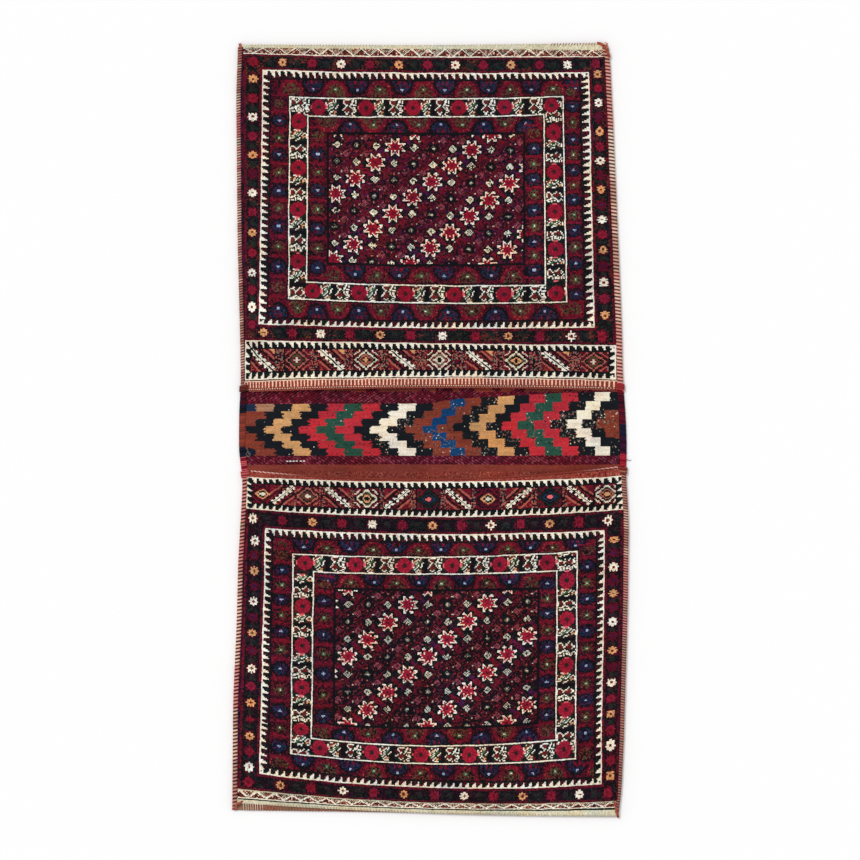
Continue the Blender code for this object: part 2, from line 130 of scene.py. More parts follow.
def wool(name):
    return WOOL_NAMES.index(name)


def wools(names):
    """The numbers of the wools that a string names."""
    return np.array([wool(name) for name in names.split()])


def dye(name):
    return PALETTE[wool(name)]


def on_bag(px, py):
    """X and y of a pixel of the photograph."""
    return (px - MIDDLE_X) * PIXEL, (MIDDLE_Y - py) * PIXEL


def outline_x(side, y):
    """X of the bag's outline on one side, smoothed."""
    y = np.asarray(y, float)
    shares, sways = zip(*SIDE_SWAY[side])
    steps = (-2, -1, 0, 1, 2)
    swayed = [np.interp(0.5 - y / BAG_LENGTH + step * SWAY_SOFTNESS, shares, sways) for step in steps]
    return side * (HALF_WIDTH + sum(swayed) / len(steps))


def outline_px(side, py, inset=CLOTH_INSET):
    x = outline_x(side, (MIDDLE_Y - py) * PIXEL) - side * inset
    return x / PIXEL + MIDDLE_X


def clamp(value, low=0.0, high=1.0):
    return np.minimum(np.maximum(value, low), high)


def ease(value):
    value = clamp(value)
    return value * value * (3 - 2 * value)


def clouds(x, y, size, seed):
    """Smooth noise from 0 to 1, with patches of that size."""
    table = default_rng(seed).random((NOISE_CELLS, NOISE_CELLS))
    gx, gy = np.asarray(x, float) / size, np.asarray(y, float) / size
    ix, iy = np.floor(gx).astype(int), np.floor(gy).astype(int)
    fx, fy = ease(gx - ix), ease(gy - iy)

    def row(at):
        left, right = (table[at % NOISE_CELLS, column % NOISE_CELLS] for column in (ix, ix + 1))
        return left * (1 - fx) + right * fx

    return row(iy) * (1 - fy) + row(iy + 1) * fy


def fade_in(count, cells):
    """From 0 at both ends of a run of grid lines to 1, that many cells in."""
    steps = np.arange(count)
    return clamp(np.minimum(steps, steps[::-1]) / cells)


def from_sides(x, y):
    """How far a place lies in from the nearer side of the cloths."""
    return np.minimum(x - outline_x(LEFT, y), outline_x(RIGHT, y) - x) - CLOTH_INSET


def add_object(name, data):
    added = bpy.data.objects.new(name, data)
    bpy.context.scene.collection.objects.link(added)
    return added


# Grids of the cloths. The map for a picture of the surface keeps the top, the rim and the underside apart, at
# these heights

TOP_MAP = 0.25
RIM_MAP_HIGH, RIM_MAP_LOW = 0.24, 0.225
UNDER_MAP = 0.21


def spread(values, cells):
    """A value for every grid line, from the values of the named lines and the cells between them."""
    marks = np.concatenate(([0], np.cumsum(cells)))
    return np.interp(np.arange(marks[-1] + 1), marks, values)


def centres(values):
    return (values[:-1] + values[1:]) / 2


def quads_of(index):
    """The faces of a grid of vertex numbers."""
    return np.stack([index[:-1, :-1], index[:-1, 1:], index[1:, 1:], index[1:, :-1]], -1).reshape(-1, 4)


def corner_colours(mesh, colours):
    """Gives a mesh's face corners their linear colours, for the materials."""
    layer = mesh.color_attributes.new("wool", "FLOAT_COLOR", "CORNER")
    layer.data.foreach_set("color", np.column_stack([colours, np.ones(len(colours))]).ravel())


def underside_points(ring, spacing):
    """Places inside a cloth's outline, in rows that far apart."""
    low, high = ring.min(0), ring.max(0)
    half = spacing / 2
    xs = np.arange(low[0] + spacing, high[0] - half, spacing)
    points = []
    for y in np.arange(low[1] + spacing, high[1] - half, spacing):
        for x in xs[from_sides(xs, y) > half]:
            if np.min(np.hypot(ring[::4, 0] - x, ring[::4, 1] - y)) > half:
                points.append((x, y))
    return points


def grid_mesh(name, top, colours, under, rim_colour, under_colour, spacing):
    """A closed cloth: a fine coloured grid on top, a rim, and a coarse underside.

    top is an array of rows from the upper end down, columns from the left, and 3. under gives the
    underside's height for x and y, and the colours are linear.
    """
    rows, columns = top.shape[:2]
    index = np.arange(rows * columns).reshape(rows, columns)
    quads = quads_of(index)[:, ::-1]
    loop = np.concatenate([index[0, :-1], index[:-1, -1], index[-1, :0:-1], index[:0:-1, 0]])
    flat = top.reshape(-1, 3)
    ring = flat[loop][:, :2]
    count, start = len(ring), len(flat)

    flat_points = [Vector(point) for point in (*ring, *underside_points(ring, spacing))]
    edges = [(at, (at + 1) % count) for at in range(count)]
    found, _, triangles, _, _, _ = delaunay_2d_cdt(flat_points, edges, [], 1, 1e-7)
    places = np.array([tuple(point) for point in found])
    lower = np.column_stack([places, under(places[:, 0], places[:, 1])])
    triangles = np.array([face[::-1] for face in triangles]) + start
    far = np.arange(count) + start
    rim = np.column_stack([np.roll(loop, -1), np.roll(far, -1), far, loop])

    mesh = bpy.data.meshes.new(name)
    verts = np.concatenate([flat, lower])
    corners = np.concatenate([quads.ravel(), rim.ravel(), triangles.ravel()])
    sizes = np.concatenate([np.full(len(quads) + len(rim), 4), np.full(len(triangles), 3)])
    mesh.vertices.add(len(verts))
    mesh.vertices.foreach_set("co", verts.ravel())
    mesh.loops.add(len(corners))
    mesh.loops.foreach_set("vertex_index", corners)
    mesh.polygons.add(len(sizes))
    mesh.polygons.foreach_set("loop_start", np.concatenate([[0], np.cumsum(sizes)[:-1]]))
    mesh.polygons.foreach_set("use_smooth", np.arange(len(sizes)) < len(quads))
    mesh.update(calc_edges=True)
    corner_colours(mesh, np.concatenate([
        np.repeat(colours.reshape(-1, 3), 4, axis=0), np.tile(rim_colour, (len(rim) * 4, 1)),
        np.tile(under_colour, (len(triangles) * 3, 1)),
    ]))

    across, along = np.meshgrid(np.linspace(0, 1, columns), np.linspace(1, TOP_MAP, rows))
    top_map = np.stack([across.ravel(), along.ravel()], -1)
    low, high = ring.min(0), ring.max(0)
    under_map = (places - low) / (high - low) * (1, UNDER_MAP)
    step = np.arange(count) / count
    rim_map = np.stack([
        np.stack([step + ahead / count, np.full(count, height)], -1)
        for ahead, height in ((1, RIM_MAP_HIGH), (1, RIM_MAP_LOW), (0, RIM_MAP_LOW), (0, RIM_MAP_HIGH))
    ], axis=1)
    maps = (top_map[quads.ravel()], rim_map.reshape(-1, 2), under_map[triangles.ravel() - start])
    mesh.uv_layers.new(name="OFBake").data.foreach_set("uv", np.concatenate(maps).ravel())
    return mesh


def show(name, mesh, material, slot, *nodes):
    """Puts a piece in the scene, riding on the bag, in place of its solids."""
    piece = add_object(name, mesh)
    mesh.materials.append(material)
    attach(piece, "root")
    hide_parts(*nodes)
    return piece


def tint(numbers, x, y, grain, drift, seed):
    """Linear colours of the cells: each knot a little lighter or darker, and patches of fading."""
    light = np.exp(default_rng(seed).normal(0.0, grain, numbers.shape))
    patches = clouds(x, y, 26, seed + 1) - 0.5
    streaks = clouds(x * STREAK_STRETCH, y, 5, seed + 2) - 0.5
    light *= 1 + drift * patches + drift * streaks
    warmth = (clouds(x, y, 17, seed + 3) - 0.5) * drift
    colours = PALETTE[numbers] * light[..., None]
    colours[..., 0] *= 1 + warmth
    colours[..., 2] *= 1 - warmth
    return clamp(colours, 0.0, BRIGHTEST)


# Motifs

EVERYWHERE = True


class Cloth:
    """A cloth's cells: the numbers of their wools, their places u and v, and which are open to paint."""

    def __init__(self, u, v, ground):
        self.u, self.v, self.open = u, v, EVERYWHERE
        self.numbers = np.full(u.shape, wool(ground))

    def within(self, here):
        """Opens those cells alone to the painting that follows."""
        self.open = here

    def fill(self, here, name):
        self.numbers[here & self.open] = wool(name)

    def mixed(self, names, size, seed, scatter=0.5):
        """Wool numbers in patches of that size, with single knots strewn about."""
        numbers = wools(names)
        mix = clouds(self.u, self.v, size, seed) * (1 - scatter) + self.luck(seed) * scatter
        share = clamp((mix - 0.5) * 1.7 + 0.5, 0.0, 0.999)
        return numbers[(share * len(numbers)).astype(int)]

    def strew(self, here, *mix):
        here = here & self.open
        self.numbers[here] = self.mixed(*mix)[here]

    def luck(self, seed):
        return default_rng(seed).random(self.u.shape)

    def off(self, centre, radii=(1, 1)):
        return (self.u - centre[0]) / radii[0], (self.v - centre[1]) / radii[1]

    def inside(self, box):
        return (self.u >= box[0]) & (self.u < box[2]) & (self.v >= box[1]) & (self.v < box[3])

    def between(self, box, inner):
        return self.inside(box) & ~self.inside(inner)

    def depth_out(self, box):
        return depth_out(self.u, self.v, box)

    def dot(self, centre, radii, name):
        du, dv = self.off(centre, radii)
        self.fill(du ** 2 + dv ** 2 < 1, name)

    def patch(self, centre, half, name):
        du, dv = self.off(centre)
        self.fill((abs(du) < half[0]) & (abs(dv) < half[1]), name)

    def petals(self, centre, radii, count, turn, hollow):
        """Distance from a flower's centre as a share of its outline, which has that many petals."""
        du, dv = self.off(centre, radii)
        tip = 0.5 + 0.5 * np.cos(count * (np.arctan2(dv, du) - turn))
        return np.hypot(du, dv) / (1 - hollow * (1 - tip))


def depth_out(u, v, box):
    """How far places lie outside a box, which is negative inside it."""
    return np.maximum(np.maximum(box[0] - u, u - box[2]), np.maximum(box[1] - v, v - box[3]))


def grown(box, size):
    """A box made that much larger on each side."""
    return box[0] - size, box[1] - size, box[2] + size, box[3] + size


# The field's rows and columns of motifs, and the motifs' sizes in pixels of the photograph
FIELD_ROWS, FIELD_COLUMNS = range(9), range(-1, 11)
ROSETTE_RADII = (7.9, 7.7)
LEAF_GAP, LEAF_MARGIN = 15.0, 3.0
BLOB_RADII = (6.6, 6.4)
STAR_RADII = (10.6, 9.5)
STAR_EDGE = 1.3
TOOTH = 7.0
BAND_FRAME = 7.0
BAR_HALF = (13.0, 10.5)
DIAMOND_HALF = (12.5, 10.5)
DIAMOND_STEPS = (1.02, 0.88, 0.7, 0.54, 0.38, 0.2)
ZIGZAG = 16.8
FLECK_LEAN, FLECK_PITCH, FLECK_SHARE = 1.3, 2.7, 0.42


def flower(cloth, centre, radius, outer, heart, core):
    """A small border rosette with eight petals. core is the heart's share of the radius."""
    share = cloth.petals(centre, (radius, radius * 0.95), 8, 0.0, 0.28)
    cloth.fill(share < 1, outer)
    cloth.fill(share < core, heart)


def star(cloth, centre, radii, red):
    """An eight-pointed star: red rays edged with pale ones."""
    turn = math.pi / 8
    around = (radii[0] + STAR_EDGE, radii[1] + STAR_EDGE)
    heart = cloth.petals(centre, radii, 8, turn, 0.46)
    cloth.fill(cloth.petals(centre, around, 8, turn, 0.34) < 1, "ink")
    cloth.fill(cloth.petals(centre, radii, 8, turn, 0.5) < 1, "cream")
    cloth.fill(heart < 0.86, "blush")
    cloth.fill(heart < 0.75, red)
    cloth.fill((heart < 0.5) & (heart > 0.2) & (cloth.luck(26) < 0.5), "crimson")
    cloth.dot(centre, (1.2, 1.2), "wine")


def lozenge(cloth, centre, radii, name, check):
    """A small diamond, checked inside."""
    du, dv = cloth.off(centre, radii)
    share = abs(du) + abs(dv)
    rows, columns = np.indices(share.shape)
    luck = cloth.luck(27)
    cloth.fill((share < 1) & (luck < 0.9), name)
    cloth.fill((share < 0.75) & ((rows + columns) % 2 == 0) & (luck > 0.2), check)


def floret(cloth, centre, radii, name, heart):
    share = cloth.petals(centre, radii, 4, math.pi / 4, 0.45)
    cloth.fill(share < 1, name)
    cloth.fill(share < 0.34, heart)


def main_rosette(cloth, centre, radii, red):
    """The main border's round rosette."""
    share = cloth.petals(centre, radii, 12, 0.0, 0.07)
    du, dv = cloth.off(centre)
    cloth.fill(share < 1, red)
    cloth.fill((share < 0.82) & (share > 0.3) & (np.sin(np.arctan2(dv, du) * 10) > 0.3), "garnet")
    cloth.fill(share < 0.3, "wine")
    cloth.fill(share < 0.2, "pine")


# The main border's leafy unit between two rosettes, and the wools of its letters
LEAF_UNIT = (
    "..w.rrrw..kkk..wwwww..w.o..",
    ".orrrw.w..kkk.wrrrro.ww.w..",
    "wrrtw.wg..kkk.wrccro.w..w..",
    "wrtw.ogg.okkk..wrro.ww.oo..",
    "pwo.wggo.wkkk..owwo.w.www..",
    "pp.wggo.w.kkk.o.wo.w..o...p",
    "ppoggwo.w.kkko.wrro.w.wwo.p",
    "pwggwo.wo.kkkowrccro.w.w..p",
    "oggwo.oro.kkkwrrccrro.www..",
    ".gwo.wrro.kkko.rrrr.o...w..",
    "..o.wrtto.kkk.owrrwo..ww...",
    "..owrrto..kkk..owwo..w..o..",
    "....wwww..kkk.o....w..ww...",
)
LETTERS = dict(w="cream", g="leaf", r="brown", k="ink", p="rose", t="tan", c="crimson", o="pine")
LEAF_NUMBERS = np.array([
    [wool(LETTERS[letter]) if letter in LETTERS else -1 for letter in line] for line in LEAF_UNIT
])


def stamp(cloth, chart, centre, size, upright):
    """Lays a chart of wool numbers over the cloth. An upright one is turned to run down the border."""
    du, dv = cloth.off(centre)
    across, along = (dv, du) if upright else (du, dv)
    rows, columns = chart.shape
    column = np.floor((across / size[0] + 0.5) * columns).astype(int)
    row = np.floor((along / size[1] + 0.5) * rows).astype(int)
    hit = (column >= 0) & (column < columns) & (row >= 0) & (row < rows) & cloth.open
    laid = chart[row[hit], column[hit]]
    cloth.numbers[hit] = np.where(laid < 0, cloth.numbers[hit], laid)


# Borders of the pile faces

def motif_places(knots, count):
    """The places of that many motifs, from a few of their places."""
    return np.interp(np.linspace(0, 1, count), np.linspace(0, 1, len(knots)), knots)


def extended(spots):
    """The places, with one more before them and one more after them."""
    return np.concatenate([[2 * spots[0] - spots[1]], spots, [2 * spots[-1] - spots[-2]]])


def ring_sides(box, inner):
    """Each side of a ring: its name, whether it runs down, its middle line's place, and its breadth."""
    for side, edge in (("top", 1), ("bottom", 3), ("left", 0), ("right", 2)):
        upright = edge % 2 == 0
        first = 0 if upright else 1
        yield side, upright, (box[edge] + inner[edge]) / 2, inner[first] - box[first]


def spot(upright, along, across):
    return (across, along) if upright else (along, across)


# Each guard flower's wools, its radius and its heart's share
GUARD_FLOWERS = dict(
    O=("tan", "brown", 4.7, 0.38), W=("cream", "crimson", 4.9, 0.34), R=("garnet", "crimson", 5.2, 0.42),
    D=("wine", "plum", 5.0, 0.5),
)


def weave_guard(cloth, box, inner, runs, lay, grounds, seed):
    """The outermost border: a row of flowers with small leaves between them."""
    cloth.within(EVERYWHERE)
    here = cloth.between(box, inner)
    cloth.strew(here, grounds, 7, seed, 0.4)
    for line in (cloth.depth_out(inner), -cloth.depth_out(box)):
        cloth.strew(here & (line < 2.2), "wine crimson wine ink", 5, seed + 2)
    for side, upright, across, _ in ring_sides(box, inner):
        letters, knots = runs[side]
        spots = lay(upright, motif_places(knots, len(letters)), across)
        for along in centres(spots):
            cloth.patch(spot(upright, along, across - 1), spot(upright, 2.8, 1.7), "smoke")
            cloth.patch(spot(upright, along + 1, across + 2.4), spot(upright, 1.9, 0.8), "pine")
        for along, letter in zip(spots, letters):
            outer, heart, radius, core = GUARD_FLOWERS[letter]
            centre = spot(upright, along, across)
            blob = here & (cloth.petals(centre, BLOB_RADII, 8, 0.0, 0.1) < 1)
            cloth.strew(blob, "ink wine ink", 3, seed + 1, 0.4)
            flower(cloth, centre, radius, outer, heart, core)


def weave_teeth(cloth, box, inner, line, grounds):
    """A pale line on the outside with pale leaning teeth that point inwards."""
    u, v = cloth.u, cloth.v
    cloth.within(cloth.between(box, inner))
    sides = np.stack([v - box[1], box[3] - v, u - box[0], box[2] - u])
    limits = np.array([inner[1] - box[1], box[3] - inner[3], inner[0] - box[0], box[2] - inner[2]])
    nearest = sides.argmin(0)
    lean = (np.where(nearest < 2, u, v) / TOOTH) % 1
    tooth = (limits[nearest] - line - 0.8) * clamp(1.9 * lean - 0.8)
    cloth.strew(EVERYWHERE, grounds, 5, 3, 0.6)
    cloth.fill(sides.min(0) < line + tooth, "cream")


def garden_run(cloth, upright, across, half, spots, way, blues, olives):
    """Blue blossoms along a border's side, with olive ones between, parted by crimson arcs."""
    u, v = cloth.u, cloth.v
    along_cell, across_cell = (v, u - across) if upright else (u, v - across)
    beat = np.interp(along_cell, extended(spots), np.arange(-1, len(spots) + 1))
    pitch = (spots[-1] - spots[0]) / (len(spots) - 1)
    swing = abs(((beat + 0.5) % 1) - 0.5) * pitch
    rest = pitch / 2 - swing
    out = across_cell * way / half
    here = (beat > -0.8) & (beat < len(spots) - 0.2) & (abs(out) < 1)
    if upright:
        bloom = np.hypot(swing / 5.6, across_cell / (half * 0.7))
        dome = np.hypot(rest / 5.2, across_cell / (half * 0.62))
        edge = here & (abs(swing - pitch * 0.26 - 0.8 * np.sin(across_cell)) < 1.2)
    else:
        bloom = np.hypot(swing / 9.4, (out + 0.75) / 1.2)
        dome = np.hypot(rest / 9.4, (out - 0.85) / 1.35)
        edge = here & (dome > 1) & (dome < 1.32) & (bloom > 1)
    cloth.strew(edge, "crimson wine garnet wine crimson", 3, 65, 0.75)
    cloth.fill(here & (bloom < 1.2), "ink")
    cloth.strew(here & (bloom < 1), blues, 4, 66, 0.55)
    cloth.strew(here & (dome < 1) & (bloom > 1.2), olives, 3, 67, 0.75)
    if not upright:
        cloth.fill(edge & (cloth.luck(68) < 0.06), "brick")
        cloth.fill(here & (bloom < 0.8) & (out < -0.45) & (abs(swing - 2.6) < 0.8), "crimson")
    line = across + (0 if upright else way * 0.8)
    for at, along in enumerate(spots):
        x, y = spot(upright, along, line)
        cloth.dot((x, y), (2.4, 2.1), blues.split()[0])
        cloth.dot((x, y), (1.4, 1.2), "sky")
        if upright:
            cloth.dot((x + 3.0, y + pitch * 0.27), (3.4, 1.6), "crimson")
            cloth.dot((x - 3.0, y - pitch * 0.27), (3.0, 1.4), "crimson")
        if at < len(spots) - 1:
            between = spot(upright, (along + spots[at + 1]) / 2, line)
            floret(cloth, between, (2.6, 2.4), "leaf", "ink")
            cloth.dot(between, (0.9, 0.8), "celadon")


def weave_garden(cloth, box, inner, runs, lay, seed, blues, olives):
    """The secondary and inner borders: blue and olive blossoms on a crimson ground."""
    cloth.within(cloth.between(box, inner))
    cloth.strew(EVERYWHERE, "ink wine aubergine crimson ink wine ink wine", 3, seed, 0.8)
    for side, upright, across, breadth in ring_sides(box, inner):
        way, places = runs[side]
        garden_run(cloth, upright, across, breadth / 2, lay(upright, places, across), way, blues, olives)
    cloth.fill(cloth.depth_out(inner) < 1.0, "ink")
    cloth.fill(-cloth.depth_out(box) < 1.0, "ink")


def weave_main(cloth, box, inner, runs, lay, red):
    """The main border: round rosettes with a leafy unit between each two."""
    cloth.within(cloth.between(box, inner))
    cloth.strew(EVERYWHERE, "ink pine ink pine wine", 5, 12, 0.55)
    rosettes = []
    for side, upright, across, breadth in ring_sides(box, inner):
        spots = lay(upright, runs[side], across)
        ends = extended(spots)
        for first, last in zip(ends[:-1], ends[1:]):
            size = (last - first - LEAF_GAP, breadth - LEAF_MARGIN)
            stamp(cloth, LEAF_NUMBERS, spot(upright, (first + last) / 2, across), size, upright)
        rosettes += [spot(upright, along, across) for along in spots]
    for centre in rosettes:
        main_rosette(cloth, centre, ROSETTE_RADII, red)
    cloth.fill(cloth.depth_out(inner) < 1.5, "cream")
    cloth.fill(-cloth.depth_out(box) < 1.6, "cream")


def weave_field(cloth, box, plan):
    """Stars, pale florets and dim florets in diagonal rows on a dark ground."""
    u, v = cloth.u, cloth.v
    cloth.within(cloth.inside(box))
    left, top, cell_w, cell_h, lean, tilt = plan["lattice"]
    column = (u - left - lean * (v - top)) / cell_w - 0.5
    row = (v - top - tilt * (u - left)) / cell_h
    slope = (column + row) % 4
    from_star = np.minimum(slope, 4 - slope)
    dark_rows = (from_star < 0.8) & (clouds(u, v, 5, 23) > 0.3)
    cloth.strew(EVERYWHERE, plan["warms"], 3, 22, 0.72)
    cloth.strew(dark_rows, plan["darks"], 3, 21, 0.62)
    strewn = cloth.luck(24) > 0.25
    cross = abs((column - row) % 2 - 1)
    cloth.strew((cross < 0.15) & (from_star < 1.4) & strewn, "plum crimson", 14, 25, 0.2)
    cloth.fill((abs(from_star - 1.3) < 0.06) & strewn, "wine")

    def knot(at_column, at_row):
        x = left + (at_column + 0.5) * cell_w + lean * at_row * cell_h
        return x, top + at_row * cell_h + tilt * (at_column + 0.5) * cell_w

    spots = [(at_column, at_row) for at_row in FIELD_ROWS for at_column in FIELD_COLUMNS]
    for at_column, at_row in spots:
        kind = (at_column + at_row) % 4
        x, y = knot(at_column + 0.5, at_row + 0.5)
        lozenge(cloth, (x, y), (4.0, 3.6), "mauve" if kind in (1, 2) else "crimson", "ink")
        cloth.dot((x + 4.8, y - 3.4), (0.8, 0.7), "mauve")
        cloth.dot((x - 4.8, y + 1.4), (0.8, 0.7), "ash")
        x, y = knot(at_column, at_row)
        if kind == 2:
            cloth.dot((x, y), (5.2, 4.6), "ink")
            for way in (-1, 1):
                cloth.dot((x + way * 6.6, y + 0.4), (0.8, 0.7), "mauve")
                cloth.dot((x, y + way * 6.2), (0.8, 0.8), "dusty")
            lozenge(cloth, (x, y), (2.9, 2.6), "grey", "ink")
            cloth.dot((x, y), (0.9, 0.8), "celadon")
        elif kind:
            cloth.dot((x, y), (4.7, 4.2), "ink")
            lozenge(cloth, (x, y), (4.2, 3.8), *plan["florets"])
    for at_column, at_row in spots:
        if (at_column + at_row) % 4 == 0:
            star(cloth, knot(at_column, at_row), STAR_RADII, plan["red"])
    cloth.fill(-cloth.depth_out(box) < 0.9, "ink")


# The closure bands

def bar(cloth, centre, way, width, tip):
    """A slanting pair of stepped pale lines with a dark line between, and dark-edged corners."""
    du, dv = cloth.off(centre, BAR_HALF)
    du = du * way
    here = (abs(du) < 1) & (abs(dv) < 1)
    off = dv - du
    step = 0.1 * np.sign(np.sin((du + dv) * 10))
    cloth.strew(here, "wine crimson ink brick", 3, 32, 0.6)
    for line, name in ((0.75, "ink"), (1.05, "dusty"), (1.3, "crimson")):
        cloth.fill(here & (abs(abs(off) - line) < 0.09), name)
    cloth.fill(here & (off < -1.45), tip)
    cloth.fill(here & (abs(off) < width + 0.16), "ink")
    cloth.fill(here & (abs(off) < width + step) & (abs(du + dv) < 1.8), "cream")
    cloth.fill(here & (abs(off) < width * 0.24), "ink")


def diamond(cloth, centre, names):
    """Nested stepped diamonds, from the outside in, with small brackets in the corners."""
    across, down = DIAMOND_HALF
    du, dv = cloth.off(centre)
    here = (abs(du) < across) & (abs(dv) < down)
    du = np.floor(abs(du) / 1.5) * 1.5 / across
    dv = abs(dv) / down
    colours = names.split()
    cloth.strew(here, "crimson wine crimson ink", 3, 33, 0.6)
    cloth.fill(here & (abs(du + dv - 1.3) < 0.07) & (du > 0.4) & (dv > 0.4), colours[1])
    cloth.fill(here & (abs(du - 0.95) < 0.06), "ink")
    for limit, name in zip(DIAMOND_STEPS, colours):
        cloth.fill(here & (du + dv < limit), name)


DIAMONDS = dict(
    dark="ink dusty ink olive crimson oat", olive="ink oat olive ink tan ink",
    cream="ink oat ink dusty ink tan", grey="ink oat crimson grey oat ink",
    teal="ink pine ink blue ink rose", small="wine ink crimson tan ink oat",
)


def weave_closure(cloth, box, contents, bar_width, tip):
    """A band of bars and diamonds in a frame of teeth."""
    here = cloth.inside(box)
    middle = (box[1] + box[3]) / 2
    cloth.within(here)
    cloth.strew(EVERYWHERE, "ink wine ink crimson grey dusty", 2, 31, 0.75)
    for at, kind in contents:
        if kind in DIAMONDS:
            diamond(cloth, (at, middle), DIAMONDS[kind])
        else:
            bar(cloth, (at, middle), 1 if kind == "\\" else -1, bar_width, tip)
    inner = grown(box, -BAND_FRAME)
    weave_teeth(cloth, box, inner, 1.1, "ink ink pine ink")
    cloth.fill(cloth.depth_out(inner) < 0.8, "ink")


def weave_hem(cloth, box, outward, comb):
    """The hem of a mouth, comb-striped or flecked. outward is 1 where its edge is at the box's lower side."""
    u, v = cloth.u, cloth.v
    cloth.within(cloth.inside(box))
    depth = (v - box[1]) if outward > 0 else (box[3] - v)
    height = box[3] - box[1]
    cloth.strew(EVERYWHERE, "brick madder brick", 5, 35)
    if comb:
        column = np.arange(u.shape[1])
        cloth.fill((column % 3 == 0) & (depth > height * 0.16) & (depth < height * 0.82), "blush")
        cloth.fill(depth < height * 0.1, "ink")
        cloth.fill(abs(depth - height * 0.16) < 0.6, "blush")
        cloth.fill(depth > height * 0.82, "madder")
        cloth.fill((column % 2 == 0) & (depth > height * 0.9), "blush")
    else:
        cloth.strew(((u + v * FLECK_LEAN) / FLECK_PITCH) % 1 < FLECK_SHARE, "crimson dusty brick", 9, 38)


def weave_zigzag(cloth, box):
    """A pale zigzag over a pale line, with fine netting above it and a dark red ground below."""
    cloth.within(cloth.inside(box))
    height = box[3] - box[1]
    depth = box[3] - cloth.v
    peak = abs(((cloth.u / ZIGZAG) % 1) - 0.5) * 2
    rise = 1.2 + (height - 2.2) * (1 - peak)
    step = np.arange(depth.shape[1]) + np.round(depth).astype(int)
    cloth.strew(EVERYWHERE, "ink brown ink", 6, 41)
    cloth.strew((depth > rise) & (step % 2 == 0), "celadon dusty grey blush", 5, 42, 0.6)
    cloth.strew(depth < rise - 1.2, "brown ink dusty blush brown", 3, 43, 0.8)
    cloth.fill(abs(depth - rise) < 0.62, "cream")
    cloth.fill(depth < 1.1, "cream")
    cloth.fill(depth > height - 0.8, "celadon")
    cloth.within(cloth.inside((box[0], box[3], box[2], box[3] + 0.9)))
    cloth.fill(EVERYWHERE, "pine")


# The two pouches. Columns have their place at the upper and lower end of the pile face, and rows have it at
# the left, the middle and the right. Cells are the number of knots from one line to the next

UPPER_PLAN = dict(
    columns=(
        (240, 242), (243, 244.8), (262.9, 258.5), (270.8, 267), (289.6, 288), (309, 307),
        (328, 328), (523.7, 524.5), (543, 545), (562.5, 568), (579.5, 586), (588.5, 595),
        (605.5, 616.5), (607.8, 620.5),
    ),
    column_cells=(4, 14, 8, 17, 17, 17, 165, 17, 18, 15, 8, 14, 4),
    rows=(
        (44.2, 44.8, 42.4), (46.4, 47.5, 48.6), (53.3, 56.8, 56.4), (69.5, 73, 72.3),
        (78.5, 80.5, 79.8), (96.8, 98.8, 96.6), (117, 118, 115.6), (133.5, 134, 133.5),
        (263.5, 265.5, 264), (281.7, 285.2, 284.5), (299.5, 303.6, 302.5), (318.5, 321.5, 320),
        (324.5, 328.3, 327.5), (340.3, 343.2, 345), (380, 376.8, 379.3), (390.3, 386.2, 388.8),
    ),
    row_cells=(3, 9, 14, 7, 16, 17, 14, 111, 17, 16, 15, 7, 13, 33, 10),
    guard=dict(
        top=("RORWRORWRORWR", (253.3, 341.3, 427.5, 511.2, 596)),
        bottom=("ORWRORWRORWR", (263.9, 342, 426, 516.4, 602.1)),
        left=("ORWRODWRORWRWR", (79, 140.8, 202, 268.2, 324.3)),
        right=("ORWDORWDODWRODWRO", (74, 131.5, 189.6, 249.5, 315.4)),
    ),
    secondary=dict(
        top=(1, (313.6, 357.9, 402, 445, 488.6, 531.4, 575)),
        bottom=(-1, (278.6, 317, 359.3, 402.9, 448.6, 495.7, 545)),
        left=(1, (120.8, 154.5, 190.8, 226.6, 266.4)),
        right=(1, (106.8, 139.5, 170.6, 200.2, 230.4, 264, 294.7)),
    ),
    inner=dict(
        top=(-1, (350.5, 396.5, 440.5, 483.6, 525.7)), bottom=(1, (355, 399.3, 444, 490.7, 535)),
        left=(1, (154.5, 190.3, 228.5, 267.9)), right=(1, (149.1, 180, 210.5, 242, 270)),
    ),
    main=dict(
        top=(318.9, 366.4, 412.9, 458.6, 505, 551.4), bottom=(312.9, 358.9, 405.4, 454.6, 504, 556.4),
        left=(121.9, 167.9, 209.7, 261.4), right=(133.1, 172, 211.5, 249.5),
    ),
    lattice=(328.5, 128.3, 19.2, 16.6, -0.035, 0.036),
    red="red",
    blues="navy ink blue wine navy",
    olives="olive ink brown wine olive wine",
    darks="ink pine ink aubergine ink plum ink",
    warms="ink wine ink crimson ink wine plum ink brown wine",
    florets=("oat", "smoke"),
    comb=True,
    guard_grounds="ink pine ink ink smoke ink brown",
    bar_width=0.29,
    bar_tip="tan",
    closure=(
        (263.5, "\\"), (298, "dark"), (331.5, "\\"), (366, "cream"), (402, "\\"), (439, "grey"),
        (478.5, "\\"), (516, "olive"), (553.5, "\\"), (590.5, "dark"),
    ),
)
